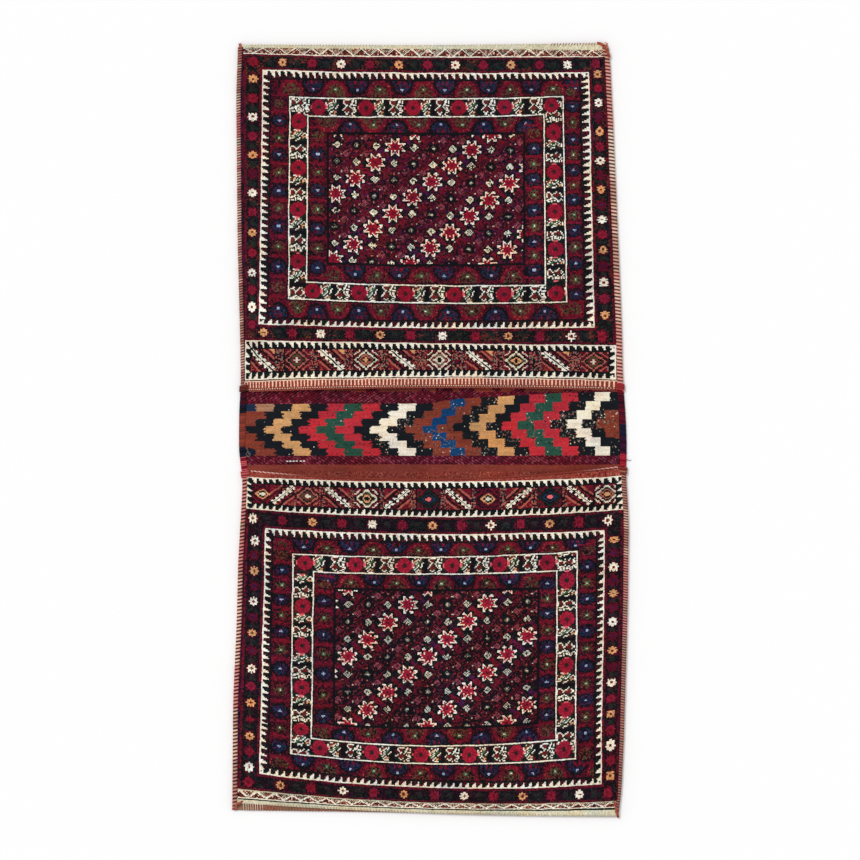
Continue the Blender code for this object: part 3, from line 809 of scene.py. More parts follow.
LOWER_PLAN = dict(
    columns=(
        (243, 234.5), (245.8, 237.8), (265.5, 258.8), (273, 267.5), (293.2, 290), (314.8, 311.2),
        (335, 333.5), (538.5, 537.5), (556.5, 555), (578, 575.5), (597.2, 594.5), (605, 601.3),
        (624, 618.3), (626.5, 620.5),
    ),
    column_cells=(4, 15, 7, 17, 18, 17, 169, 15, 18, 16, 7, 14, 4),
    rows=(
        (471.5, 480.5, 468.2), (476.9, 481.8, 476.2), (509.3, 517, 510.4), (528, 533.9, 530),
        (536.5, 542, 538), (553.2, 556.6, 551), (571.8, 574.6, 571), (588, 590, 588.5),
        (724.5, 727.5, 723.5), (736.6, 745, 739.5), (752.8, 763.9, 759.6), (767, 781, 778),
        (773.5, 787.7, 784.6), (789.8, 803, 802), (798, 809, 808.3), (803.7, 813.6, 816.8),
    ),
    row_cells=(5, 34, 15, 7, 13, 16, 13, 117, 14, 16, 14, 6, 13, 8, 4),
    guard=dict(
        top=("WRORWRORWRORW", (252.9, 342.1, 432.5, 520, 608.1)),
        bottom=("ORWRORWRORWR", (280.4, 366, 449.7, 529.9, 607.6)),
        left=("WDODWDODWRORORWR", (540.5, 586, 632.8, 686, 735.8, 782)),
        right=("ODWDODWDODWRORWRO", (539.6, 593.4, 650.5, 714.4, 776)),
    ),
    secondary=dict(
        top=(1, (304.3, 350, 396.4, 440.7, 485, 530, 575)),
        bottom=(1, (303.1, 350.3, 397.6, 443.5, 488.6, 533, 576.7)),
        left=(1, (569.8, 599.4, 631, 668, 711, 745.6)),
        right=(1, (566.3, 598.6, 630.9, 665.4, 699.9, 733.2)),
    ),
    inner=dict(
        top=(1, (327.5, 374, 419.3, 464.3, 509.3)), bottom=(-1, (344, 393, 437, 481.3, 526.7)),
        left=(1, (600.8, 634.4, 673.5, 716)), right=(1, (583.3, 612.9, 646.5, 681.5, 714.4)),
    ),
    main=dict(
        top=(305, 355.7, 404.3, 452, 499.3, 547), bottom=(320, 371.8, 421.2, 469.4, 516, 563.7),
        left=(606.2, 645.7, 687.5, 728.7), right=(580, 619.1, 664.9, 709.3),
    ),
    lattice=(337.9, 588.3, 19.9, 17.45, 0, -0.015),
    red="scarlet",
    blues="navy ink plum ink blue",
    olives="brown olive wine ink",
    darks="ink ink pine ink aubergine",
    warms="ink aubergine ink wine ink crimson ink brown ink ink",
    guard_grounds="ink aubergine ink ink smoke ink",
    florets=("ash", "ink"),
    comb=False,
    bar_width=0.24,
    bar_tip="crimson",
    closure=(
        (259, "small"), (280, "/"), (306, "dark"), (337, "\\"), (366, "olive"), (396.5, "/"),
        (428, "teal"), (458, "\\"), (487.5, "small"), (518, "/"), (549, "teal"), (579, "\\"),
        (605, "cream"),
    ),
    darn=(611, 476.5),
)
POUCHES = {UPPER: UPPER_PLAN, LOWER: LOWER_PLAN}
WOBBLE = 0.55
STRAY = 0.13
ROUGHNESS = 0.00022
WAVES = 0.0007
FRONT_DARN_RADII = (6.0, 3.4)

# How much single knots differ in lightness, and how much whole patches do
PILE_TINT, FLAT_TINT, BACK_TINT = (0.2, 0.24), (0.1, 0.16), (0.1, 0.22)

# The grid lines over which a cloth's unevenness fades in from its sides and from its ends
FADE_COLUMNS, FADE_ROWS = 6, 4

# How far apart the points of the undersides are
FRONT_SPACING, BACK_SPACING = 0.014, 0.012

# Where across the photograph the three places of a front's row are, and the rows at its end and at its mouth
ROW_PLACES = (240, 430, 620)
END_ROW = {UPPER: 0, LOWER: -1}
MOUTH_ROW = {UPPER: -1, LOWER: 0}

# How far in from each edge the rows' left and right places were read, as a share of the width
HALF_INSETS = (0.01, 0.01, 0.03, 0.06, 0.085, 0.135, 0.185, 0.235)
ROW_INSETS = HALF_INSETS + HALF_INSETS[::-1]


def wobble(px, py, seed):
    """How far handwoven lines stray, in pixels."""
    return [
        WOBBLE * (clouds(px, py, 24, seed + at) + clouds(px, py, 9, seed + at + 1) - 1) for at in (0, 2)
    ]


def front_under(pouch, end_px, x, y):
    """Height of a front panel's underside: low where it is sewn down, high over the pouch's hollow."""
    end = np.interp(x / PIXEL + MIDDLE_X, ROW_PLACES, end_px)
    from_end = pouch * ((MIDDLE_Y - end) * PIXEL - y) - END_OVERHANG
    rise = ease((from_sides(x, y) - SHELF) / SHOULDER) * ease((from_end - SHELF) / SHOULDER)
    return FRONT_LOW + (FRONT_HIGH - FRONT_LOW) * rise


def ring_boxes(us, vs):
    """The nested boxes of the pile face's rings, guard first and field last."""
    return [(us[1 + ring], vs[2 + ring], us[-2 - ring], vs[-3 - ring]) for ring in range(6)]


def paint_front(pouch, u, v, us, vs, lay):
    plan = POUCHES[pouch]
    cloth = Cloth(u, v, "celadon")
    boxes = ring_boxes(us, vs)
    strip, zigzag, band, hem = (0, 1, 13, 14) if pouch == UPPER else (14, 13, 1, 0)

    def rows_from(first, column=0, inset=0):
        return us[column] + inset, vs[first], us[-1 - column] - inset, vs[first + 1]

    end = cloth.inside(rows_from(strip))
    sides = (u < boxes[0][0]) | (u > boxes[0][2])
    cloth.strew(end, "celadon oat celadon", 14, 51, 0.35)
    cloth.strew(sides & ~end, "wine plum ink", 4, 52)
    weave_zigzag(cloth, rows_from(zigzag, column=1))
    weave_hem(cloth, rows_from(hem), pouch, plan["comb"])
    if "darn" in plan:
        cloth.within(EVERYWHERE)
        darn = np.hypot(*cloth.off(plan["darn"], FRONT_DARN_RADII)) < 1
        cloth.strew(darn, "blue pine kilim_blue ash", 2, 39, 0.8)
    weave_closure(cloth, rows_from(band, inset=3), plan["closure"], plan["bar_width"], plan["bar_tip"])
    weave_guard(cloth, *boxes[:2], plan["guard"], lay, plan["guard_grounds"], 61)
    weave_teeth(cloth, *boxes[1:3], 1.2, "ink ink pine wine")
    weave_garden(cloth, *boxes[2:4], plan["secondary"], lay, 62, plan["blues"], plan["olives"])
    weave_main(cloth, *boxes[3:5], plan["main"], lay, plan["red"])
    weave_garden(cloth, *boxes[4:], plan["inner"], lay, 63, plan["blues"], plan["olives"])
    weave_field(cloth, boxes[5], plan)
    return cloth.numbers


def bowed(left, middle, right, share, inset):
    """A line across the bag through its three places, the outer two that far in from the edges."""
    half = 0.5 - inset
    off = share - 0.5
    slope = (right - left) * off / (2 * half)
    return middle + slope + (left + right - 2 * middle) * off ** 2 / (2 * half ** 2)


def make_front(pouch, material):
    plan = POUCHES[pouch]
    name = f"{POUCH_NAMES[pouch]}_front"
    cells, row_cells = plan["column_cells"], plan["row_cells"]
    lines, rows = np.array(plan["columns"]), np.array(plan["rows"])
    top, bottom = (spread(line, cells) for line in lines.T)
    left, middle, right = (spread(line, row_cells) for line in rows.T)
    us, vs = lines.mean(1), rows[:, 1]

    pile_top, pile_bottom = vs[2], vs[13]
    share_down = clamp((middle - pile_top) / (pile_bottom - pile_top))[:, None]
    px = top * (1 - share_down) + bottom * share_down
    for side, margin in ((LEFT, cells[0]), (RIGHT, cells[-1])):
        edge = outline_px(side, middle)
        columns = np.arange(margin + 1) if side == LEFT else -1 - np.arange(margin + 1)
        inner = px[:, columns[-1]]
        for at, column in enumerate(columns[:-1]):
            px[:, column] = edge * (1 - at / margin) + inner * (at / margin)
    share = (px - px[:, :1]) / (px[:, -1:] - px[:, :1])
    py = bowed(left[:, None], middle[:, None], right[:, None], share, spread(ROW_INSETS, row_cells)[:, None])
    grid_us = spread(us, cells)
    photo_x, photo_y = px, py

    def lay(upright, spots, across):
        """Places in the photograph along a line of the cloth, as places on the cloth."""
        if upright:
            return np.interp(spots, photo_y[:, abs(grid_us - across).argmin()], middle)
        return np.interp(spots, photo_x[abs(middle - across).argmin()], grid_us)

    off_x, off_y = wobble(px, py, 70 + pouch)
    edge_fade = fade_in(px.shape[1], FADE_COLUMNS)[None, :]
    end_fade = fade_in(px.shape[0], FADE_ROWS)[:, None]
    fade = np.minimum(edge_fade, end_fade)
    luck = default_rng(100 + pouch)
    stray_x, stray_y = (
        clamp(luck.normal(0.0, STRAY, px.shape), -2 * STRAY, 2 * STRAY) for _ in range(2)
    )
    px = px + off_x * edge_fade + stray_x * fade
    py = py + off_y * end_fade + stray_y * fade

    u, v = np.meshgrid(centres(grid_us), centres(middle))
    numbers = paint_front(pouch, u, v, us, vs, lay)
    pile = ring_boxes(us, vs)[0]
    flat_woven = depth_out(u, v, pile) > 0
    colours = tint(numbers, u, v, *PILE_TINT, 80 + pouch)
    colours[flat_woven] = tint(numbers, u, v, *FLAT_TINT, 90 + pouch)[flat_woven]

    x, y = on_bag(px, py)
    full = ease(-depth_out(*np.meshgrid(grid_us, middle), pile) * PIXEL / PILE_EDGE)

    def under(at_x, at_y):
        return front_under(pouch, rows[END_ROW[pouch]], at_x, at_y)

    waves = WAVES * (clouds(px, py, 40, 110 + pouch) - 0.5) * 2 * edge_fade
    rough = luck.normal(0.0, ROUGHNESS, px.shape) * (0.35 + 0.65 * full)
    z = under(x, y) + FLAT_THICKNESS + (PILE_THICKNESS - FLAT_THICKNESS) * full
    z += (rough + waves * (0.4 + 0.6 * full)) * fade
    points = np.stack([x, y, z], -1)
    mesh = grid_mesh(name, points, colours, under, dye("brick"), dye("backing"), FRONT_SPACING)
    piece = show(name, mesh, material, "pile_face", f"{name}_panel")


# The back cloth. Its rows have their places at five stations across. The bands that show between them are a
# lip at the upper mouth, a twill on each side of the bridge, and a strip at the lower mouth and the lower end

STATIONS = (240, 430, 458, 564, 625)
BACK_ROWS = (
    (45, 45.6, 45.6, 44.2, 43.4), (384, 380, 380, 381, 383), (391, 386.6, 386.4, 387, 388),
    (403.9, 403.4, 398.7, 392.7, 391.7), (455.9, 455.6, 455.6, 455.5, 455.5),
    (464.8, 464.4, 464.5, 465, 464.5), (488, 492, 492, 490, 486),
    (796, 800, 801, 803, 804), (810.8, 813.4, 814.2, 816.2, 817.2),
)
BACK_CELLS = (24, 5, 12, 56, 9, 22, 24, 14)
UPPER_LIP, UPPER_TWILL, BRIDGE, LOWER_TWILL, LOWER_STRIP, END_STRIP = 1, 2, 3, 4, 5, 7
BACK_COLUMNS = 366
BACK_WOBBLE = 0.6
BACK_WAVES = 0.00035
BACK_ROUGHNESS = 0.00007
BRIDGE_ROWS = 7
BRIDGE_SHIFT = 9.2
BRIDGE_EDGE = 0.0105
CHEVRON = (0, 1, 2, 3, 2, 1, 0)
BLOCK_EDGES = (
    245, 256, 274, 292, 309.5, 327, 344.3, 362.9, 380.4, 398.3, 415.5, 432.7, 450.3, 465, 481, 497.6, 514,
    529.5, 545, 562.3, 578.4, 595.2, 610, 624, 650, 668,
)
BLOCK_WOOLS = (
    "blue backing kilim_black kilim_tan kilim_black kilim_red kilim_green kilim_red kilim_black "
    "kilim_cream kilim_black kilim_madder kilim_blue kilim_madder kilim_black kilim_tan kilim_black "
    "kilim_red kilim_green kilim_red kilim_black kilim_cream kilim_black kilim_madder kilim_blue"
)

# Where the bridge changes: its middle, how far its blocks' edges are ragged, where wear starts and over what
# length it grows, and where its last blocks start and how far down from its middle they reach
BRIDGE_MIDDLE = 424
RAGGED_TO = 392
WORN_FROM, WORN_OVER = 330, 60
LAST_FROM, LAST_REACH = 600, 14.5

# Down to where the upper twill has madder wool, and from where down the lower strip has flecks. Then from
# where across the bridge has dark edges all the way down, down to where it has them elsewhere, and from where
# across the end strip is pale
MADDER_DOWN_TO, FLECKS_FROM = 391.5, 472
EDGED_FROM, EDGED_DOWN_TO, PALE_FROM = 400, 413, 400

# A row of white dashes below the bridge, and the darn at its lower left corner
DASHES_FROM, DASHES_TO, DASHES_DOWN = 286, 306, 461.5
DARN, DARN_RADII = (248.5, 452.3), (7.5, 4.4)


def paint_twill(cloth, here, lean, seed):
    """A dark band with slanting paler floats."""
    px, py = cloth.u, cloth.v
    luck = clouds(px, py, 2.4, seed + 1)
    ground = Cloth(px, py * 0.2, "ink").mixed("aubergine wine wine", 11, seed, 0.3)
    cloth.numbers[here] = ground[here]
    floats = ((px * 0.62 - lean * py) / 2.9) % 1 < 0.45
    cloth.fill(here & floats, "crimson")
    cloth.fill(here & floats & (luck > 0.6), "mauve")
    cloth.fill(here & ~floats & (luck < 0.42), "ink")


def paint_bridge(cloth, here, row, luck):
    """Leaning blocks of colour, worn to paler wool in the middle, with black specks of painted shade."""
    px, py = cloth.u, cloth.v
    cloth.within(here)
    shift = np.array(CHEVRON)[np.clip(row, 0, BRIDGE_ROWS - 1)] * BRIDGE_SHIFT
    ragged = np.where(px < RAGGED_TO, 5.0, 1.6) * (clouds(px * 0.05, py, 1.1, 118) - 0.5)
    block = np.searchsorted(BLOCK_EDGES, px + shift + ragged, side="right") - 1
    numbers = wools(BLOCK_WOOLS)
    cloth.numbers[here] = numbers[np.clip(block, 0, len(numbers) - 1)][here]
    cloth.fill((block <= 1) & (row > 0), "kilim_madder")
    madder = cloth.numbers == wool("kilim_madder")
    cloth.fill((px > LAST_FROM) & madder & (abs(py - BRIDGE_MIDDLE) > LAST_REACH), "kilim_black")

    dashes = luck.random(px.shape)
    dark = np.isin(cloth.numbers, wools("kilim_black kilim_madder kilim_blue kilim_green kilim_red"))
    middle = 1 - abs(row - 3) / 5
    across = clamp((px - WORN_FROM) / WORN_OVER)
    worn = 0.006 + 0.18 * across * ease((clouds(px, py, 20, 121) - 0.3) * 2.5) * middle
    worn = np.where(cloth.numbers == wool("kilim_red"), 0.12 * worn, worn)
    cloth.strew(dark & (dashes < worn), "grey oat dusty grey grey", 3, 129, 0.8)
    # Painted shade: a few of the dark wools' cells, picked at random, are made black.
    cloth.fill((luck.random(px.shape) < 0.02) & dark, "kilim_black")
    cloth.within(EVERYWHERE)


def paint_back(px, py, band, row_in_bridge):
    cloth = Cloth(px, py, "madder")
    in_bridge = band == BRIDGE
    luck = default_rng(120)
    paint_bridge(cloth, in_bridge, row_in_bridge, luck)
    paint_twill(cloth, (band == UPPER_LIP) | (band == UPPER_TWILL), -1.0, 122)
    paint_twill(cloth, band == LOWER_TWILL, 1.0, 124)
    cloth.fill((band == UPPER_TWILL) & (py < MADDER_DOWN_TO) & (clouds(px, py, 8, 126) > 0.38), "madder")
    slanted = ((px - py * FLECK_LEAN) / FLECK_PITCH) % 1 < FLECK_SHARE
    flecks = (band == LOWER_STRIP) & (py > FLECKS_FROM) & slanted & (luck.random(px.shape) < 0.7)
    cloth.strew(flecks, "brick crimson dusty brick", 9, 128)
    dashes = (px > DASHES_FROM) & (px < DASHES_TO) & ((px % 3.4) < 2)
    cloth.fill((abs(py - DASHES_DOWN) < 0.6) & dashes, "cream")
    edges = (px < outline_px(LEFT, py, BRIDGE_EDGE)) | (px > outline_px(RIGHT, py, BRIDGE_EDGE))
    cloth.fill(in_bridge & edges & ((px > EDGED_FROM) | (py < EDGED_DOWN_TO)), "kilim_black")
    cloth.strew(np.hypot(*cloth.off(DARN, DARN_RADII)) < 1, "ink navy ink blue ink grey", 2, 131)
    end = band == END_STRIP
    cloth.strew(end, "backing dusty backing", 10, 127, 0.4)
    cloth.fill(end & (px > PALE_FROM), "celadon")
    return cloth.numbers


def back_under(x, y):
    """Height of the back's underside, which is pinched up along its edges."""
    from_end = BAG_LENGTH / 2 - END_OVERHANG - abs(y)
    pinch = 1 - ease((np.minimum(from_sides(x, y), from_end) - SHELF) / BACK_RAMP)
    return BACK_BOTTOM + (BACK_LIFT - BACK_BOTTOM) * pinch


def make_back(material):
    lines = np.stack([spread(line, BACK_CELLS) for line in np.array(BACK_ROWS).T], axis=-1)
    share = np.linspace(0, 1, BACK_COLUMNS + 1)
    left, right = (outline_px(side, lines[:, 1])[:, None] for side in (LEFT, RIGHT))
    px = left * (1 - share) + right * share
    py = np.stack([np.interp(places, STATIONS, line) for places, line in zip(px, lines)])
    off_x, off_y = wobble(px, py, 130)
    fade = fade_in(px.shape[1], FADE_COLUMNS)
    px, py = px + BACK_WOBBLE * off_x * fade, py + BACK_WOBBLE * off_y * fade

    centre_x, centre_y = ((places[:-1, :-1] + places[1:, 1:]) / 2 for places in (px, py))
    band = np.repeat(np.arange(len(BACK_CELLS)), BACK_CELLS)
    row = (np.arange(len(band)) - sum(BACK_CELLS[:BRIDGE])) // (BACK_CELLS[BRIDGE] // BRIDGE_ROWS)
    cell_bands, cell_rows = (np.repeat(each[:, None], BACK_COLUMNS, axis=1) for each in (band, row))
    numbers = paint_back(centre_x, centre_y, cell_bands, cell_rows)
    colours = tint(numbers, centre_x, centre_y, *BACK_TINT, 140)
    streaks = clouds(centre_x * STREAK_STRETCH, centre_y, 1.3, 141)[..., None]
    colours = clamp(colours * (0.86 + 0.28 * streaks), 0.0, BRIGHTEST)

    x, y = on_bag(px, py)
    rough = default_rng(150).normal(0, BACK_ROUGHNESS, px.shape)
    points = np.stack([x, y, BACK_TOP + BACK_WAVES * (clouds(px, py, 18, 151) - 0.5) + rough], -1)
    mesh = grid_mesh("back", points, colours, back_under, dye("madder"), dye("madder"), BACK_SPACING)
    piece = show("back", mesh, material, "back_weave", "back_cloth")


# Yarn work: tubes of wool and wrapped edges

OFF_FLOOR = 0.0001


class Yarns:
    """Gathers the surfaces of a piece that is made of yarns."""

    def __init__(self):
        self.verts, self.faces, self.colours = [], [], []

    def sheet(self, points, colours, closed=False):
        """A strip through an array of rows, columns and 3, with a colour for each row."""
        rows, columns = points.shape[:2]
        start = sum(len(part) for part in self.verts)
        index = np.arange(rows * columns).reshape(rows, columns) + start
        if closed:
            index = np.concatenate([index, index[:, :1]], axis=1)
        self.verts.append(points.reshape(-1, 3))
        self.faces.append(quads_of(index))
        self.colours.append(np.repeat(centres(colours), index.shape[1] - 1, axis=0))

    def tube(self, x, y, z, radius, colour, sides=6):
        """A yarn along a path, with a radius for all of it or for each point."""
        path = np.stack([x, y, z], -1)
        radius = np.broadcast_to(radius, (len(path),))
        run = np.gradient(path, axis=0)
        run /= np.linalg.norm(run, axis=1)[:, None]
        up = np.where(abs(run[:, 2:3]) > 0.9, (1.0, 0.0, 0.0), (0.0, 0.0, 1.0))
        across = np.cross(run, up)
        across /= np.linalg.norm(across, axis=1)[:, None]
        lift = np.cross(across, run)
        turn = np.linspace(0, 2 * math.pi, sides, endpoint=False)
        ring = across[:, None] * np.cos(turn)[None, :, None] + lift[:, None] * np.sin(turn)[None, :, None]
        points = path[:, None] + ring * radius[:, None, None]
        self.sheet(points, np.broadcast_to(colour, (len(path), 3)), closed=True)

    def show(self, node, word, material, slot):
        """Shows the yarns in place of a node. Its name and the word make the piece's name."""
        name = f"{node}_{word}"
        verts, faces = np.concatenate(self.verts), np.concatenate(self.faces)
        verts[:, 2] = np.maximum(verts[:, 2], OFF_FLOOR)
        mesh = bpy.data.meshes.new(name)
        mesh.from_pydata(verts.tolist(), [], faces.tolist())
        mesh.polygons.foreach_set("use_smooth", np.ones(len(faces), bool))
        corner_colours(mesh, np.repeat(np.concatenate(self.colours), 4, axis=0))
        mesh.update()
        show(name, mesh, material, slot, node)


def corner_node(pouch, side, kind):
    return f"{POUCH_NAMES[pouch]}_{SIDE_NAMES[side]}_{kind}"


def unevenly(luck, amount, along):
    """A factor for each place along a yarn that makes it a little lighter or darker."""
    return np.exp(luck.normal(0, amount, len(along)))[:, None]


# Strands wrapped over an edge: their breadth, the rows of points in each, the angle that they go round to,
# the points round them, how square they are outwards and upwards, how unevenly they lie, and their slant
STRAND = 0.00135
STRAND_ROWS = 3
WRAP_ANGLE = 150
WRAP_POINTS = 14
WRAP_SQUARENESS = (0.62, 0.8)
WANDER = 0.00012
SLANT = 0.0008

# The wrap's ends are drawn together to this share, which closes them
WRAP_END = 0.15


def overcast(side, low, high, width, top, colour_at, bulge=0.00032, lift=0.0):
    """Strands wrapped over a side's edge between two corners of a box, from the cloth's top to its underside.

    width is the wrap's width at the lower and at the upper end.
    """
    strands = int(round(abs(high.y - low.y) / STRAND))
    count = strands * STRAND_ROWS + 1
    along = np.linspace(low.y, high.y, count)
    angle = np.radians(np.linspace(WRAP_ANGLE, -WRAP_ANGLE, WRAP_POINTS))
    half = np.linspace(*width, count)[:, None] / 2
    rise = (top - WRAP_BOTTOM) / 2
    out = half * np.sign(np.cos(angle)) * abs(np.cos(angle)) ** WRAP_SQUARENESS[0]
    up = np.sign(np.sin(angle)) * abs(np.sin(angle)) ** WRAP_SQUARENESS[1] * rise
    phase = np.arange(count) / STRAND_ROWS
    puff = bulge * abs(np.sin(math.pi * phase))
    wander = default_rng(int(1000 + low.y * 1000)).normal(0, WANDER, count)
    swell = 1 + (puff + wander)[:, None] / np.hypot(out, up)
    swell[[0, -1]] *= WRAP_END
    y = along[:, None] - SLANT * out / half
    x = outline_x(side, y) + side * (out * swell - half + lift)
    z = WRAP_BOTTOM + rise + up[None, :] * swell
    yarns = Yarns()
    yarns.sheet(np.stack([x, y, z], -1), colour_at(along, np.floor(phase).astype(int)))
    return yarns


# Each binding's light wools from its upper end down, their share of blush, its width at its lower and at its
# upper end, and how much of the light wool each strand of a stripe takes: 1 is the light wool, 0 is the dark.
# Light and dark wools alternate in the wraps. The values between 1 and 0 are painted shade, which grades each
# wrap from its lit side into the dark gap.
BINDINGS = {
    (UPPER, LEFT): (
        "backing dusty celadon blush rose blush dusty backing blush dusty backing dusty blush dusty",
        0.3, (0.0060, 0.0068), (1, 0.2, 0),
    ),
    (UPPER, RIGHT): ("rust rose cream blush backing rose blush rose", 0.5, (0.0092, 0.0100), (1, 1, 0.1, 0)),
    (LOWER, LEFT): (
        "rose rose backing blush blush blush rose blush backing dusty", 0.4, (0.0078, 0.0074), (1, 0.8, 0, 0),
    ),
    (LOWER, RIGHT): (
        "brick dusty blush rose rose backing backing dusty brick dusty brick madder",
        0.42, (0.0060, 0.0080), (1, 0.2, 0),
    ),
}
BINDING_DARKS = "brown wine brown wine aubergine"


def make_binding(pouch, side, material):
    name = corner_node(pouch, side, "binding")
    low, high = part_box(name)
    names, blush, widths, wool_and_shade_stripe = BINDINGS[pouch, side]
    lights, darks = PALETTE[wools(names)], PALETTE[wools(BINDING_DARKS)]
    luck = default_rng(160 + 3 * pouch + side)

    def colour_at(along, strand):
        share = (high.y - along) / (high.y - low.y)
        patches = clouds(share * 900, 0 * share, 26, 170 + 5 * pouch + side) - 0.5
        zone = clamp(share + 0.22 * patches, 0, 0.999)
        light = lights[(zone * len(lights)).astype(int)] * (1 - blush) + dye("blush") * blush
        dark = darks[strand // len(wool_and_shade_stripe) * 7 % len(darks)]
        # Each strand mixes its stripe's light and dark wool: the wools' own stripes, with painted shade in
        # the mixed strands.
        picked = dark + (light - dark) * np.array(wool_and_shade_stripe)[strand % len(wool_and_shade_stripe)][:, None]
        return picked * unevenly(luck, 0.05, along)

    wrap = overcast(side, low, high, widths, POUCH_WRAP_TOP, colour_at)
    wrap.show(name, "yarn", material, "binding_wool")


# The wools of each bridge selvedge down the photograph, each run's lower end in its pixels
SELVEDGE_WOOLS = {
    LEFT: (
        (404, "aubergine ink wine"), (413, "navy ink ink"), (447, "brown madder brick"),
        (457.5, "ink navy ink"), (480, "red rose crimson"),
    ),
    RIGHT: (
        (393.5, "red kilim_red crimson"), (409, "ink aubergine wine"), (424, "crimson wine aubergine"),
        (437, "navy ink navy"), (453.5, "ink aubergine plum"), (480, "kilim_red red crimson"),
    ),
}


def make_selvedge(side, material):
    name = f"{SIDE_NAMES[side]}_bridge_selvedge"
    low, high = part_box(name)
    luck = default_rng(180 + side)
    ends, names = zip(*SELVEDGE_WOOLS[side])
    table = np.array([wools(three) for three in names])

    def colour_at(along, strand):
        run = np.searchsorted(ends, MIDDLE_Y - along / PIXEL + luck.normal(0, 0.6, len(along)))
        return PALETTE[table[np.minimum(run, len(ends) - 1), strand * 5 // 3 % 3]]

    wrap = overcast(side, low, high, (BINDING_WIDTH, BINDING_WIDTH), BRIDGE_WRAP_TOP, colour_at, 0.00025)
    wrap.show(name, "yarn", material, "selvedge_wool")


TIE_SHADES = {
    (UPPER, LEFT): "brown ink madder", (UPPER, RIGHT): "kilim_red brick red",
    (LOWER, LEFT): "red rose brown dusty", (LOWER, RIGHT): "brick brown backing crimson",
}
TIE_TOP = POUCH_WRAP_TOP + 0.0006
TIE_BULGE = 0.0005
TIE_LIFT = 0.0015

# The stray thread at the lower right tie: its start, how far it reaches and sags in pixels, and its height
THREAD_START = (626.5, 459.0)
THREAD_REACH, THREAD_SAG = 5.5, 1.5
THREAD_HEIGHT = 0.0045


def make_tie(pouch, side, material):
    name = corner_node(pouch, side, "tie")
    low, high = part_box(name)
    luck = default_rng(190 + 3 * pouch + side)
    shades = PALETTE[wools(TIE_SHADES[pouch, side])]

    def colour_at(along, strand):
        return shades[(strand * 7 // 5) % len(shades)] * unevenly(luck, 0.06, along)

    wrap = overcast(side, low, high, (TIE_WIDTH, TIE_WIDTH), TIE_TOP, colour_at, TIE_BULGE, TIE_LIFT)
    if (pouch, side) == (LOWER, RIGHT):
        way = np.linspace(0, 1, 9)
        px, py = THREAD_START
        x, y = on_bag(px + THREAD_REACH * way, py + THREAD_SAG * np.sin(way * 2.4))
        z = THREAD_HEIGHT * (1 - way) ** 1.5 + 0.0006
        wrap.tube(x, y, z, np.linspace(0.0006, 0.0003, 9), dye("red"), 5)
    wrap.show(name, "yarn", material, "tie_wool")


# The twisted end of each binding over its outer corner: its start, bend and end in pixels, and its radius
CORNER_CORDS = {
    (UPPER, LEFT): ((240.3, 42.8), (241.2, 46.0), (240.4, 50.5), 0.0011),
    (UPPER, RIGHT): ((597.6, 42.6), (607.0, 43.6), (609.3, 57.0), 0.0021),
    (LOWER, LEFT): ((233.0, 810.0), (235.0, 805.0), (243.0, 801.5), 0.0014),
    (LOWER, RIGHT): ((618.5, 818.0), (617.0, 811.0), (614.6, 802.0), 0.0018),
}
CORNER_PLIES = ("brick", "dusty", "rust")
CORNER_TWIST = 0.0085
CORNER_LOW, CORNER_CLIMB, CORNER_DROP = 0.0045, POUCH_WRAP_TOP - 0.0035, 0.0030
CORNER_RISE, CORNER_FALL = 0.010, 0.006
TUFT_WOOLS = ("dusty", "brick", "rose", "brown", "crimson")
TUFT_STRANDS = 9
TUFT_RADII = (0.0011, 0.0004)
TUFT_SPREAD, TUFT_HEIGHT, TUFT_DEPTH, TUFT_DROOP = 0.0026, 0.0040, 0.0018, 0.002


def make_tuft(pouch, side, material):
    """The loose ends of a side binding's wool, and its twisted end."""
    name = corner_node(pouch, side, "tuft")
    low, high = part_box(name)
    luck = default_rng(200 + 3 * pouch + side)
    yarns = Yarns()
    steps = np.linspace(0, 1, 7)
    root_y = low.y if pouch == UPPER else high.y
    length = high.y - low.y
    for strand in range(TUFT_STRANDS):
        lean = luck.uniform(-0.5, 0.5)
        x = (low.x + high.x) / 2 + TUFT_SPREAD * luck.uniform(-1, 1) + lean * length * steps ** 1.5
        y = root_y + pouch * (length * luck.uniform(0.7, 1.0) * steps - 0.001)
        z = TUFT_HEIGHT + TUFT_DEPTH * luck.uniform(-1, 1) - TUFT_DROOP * steps ** 2
        yarns.tube(x, y, z, np.linspace(*TUFT_RADII, len(steps)), dye(TUFT_WOOLS[strand % len(TUFT_WOOLS)]))
    *ends, radius = CORNER_CORDS[pouch, side]
    first, bend, last = np.array(ends)
    way = np.linspace(0, 1, 33)[:, None]
    x, y = on_bag(*((1 - way) ** 2 * first + 2 * way * (1 - way) * bend + way ** 2 * last).T)
    gone = np.concatenate(([0], np.cumsum(np.hypot(np.diff(x), np.diff(y)))))
    run_x, run_y = np.gradient(x), np.gradient(y)
    run = np.hypot(run_x, run_y)
    height = CORNER_LOW + CORNER_CLIMB * ease(gone / CORNER_RISE)
    height = height - CORNER_DROP * ease((gone - gone[-1] + CORNER_FALL) / CORNER_FALL)
    for ply, colour in enumerate(CORNER_PLIES):
        turn = gone / CORNER_TWIST * 2 * math.pi + ply * 2 * math.pi / len(CORNER_PLIES)
        off = np.cos(turn) * radius * 0.55
        z = height + np.sin(turn) * radius * 0.55
        yarns.tube(x + off * run_y / run, y - off * run_x / run, z, radius * 0.6, dye(colour), 8)
    yarns.show(name, "yarn", material, "binding_wool")


# Stitches over the ends: the first and last pixel, the number, the wool, and how far in they reach. Then each
# stitch's heights and its lean, from the front's top over the end to the underside
END_STITCHES = {
    UPPER: ((252, 545, 96, "celadon", 0.9), (552, 598, 17, "crimson", 2.0)),
    LOWER: ((243, 262, 9, "cream", 2.4), (266, 545, 92, "backing", 0.8), (548, 612, 22, "oat", 1.4)),
}
STITCH_HEIGHTS = (0.0056, 0.0064, 0.0062, 0.0034, 0.0006)
STITCH_LEANS = (-1, -0.4, 0.2, 0.6, 1)
STITCH_RADIUS = 0.00045


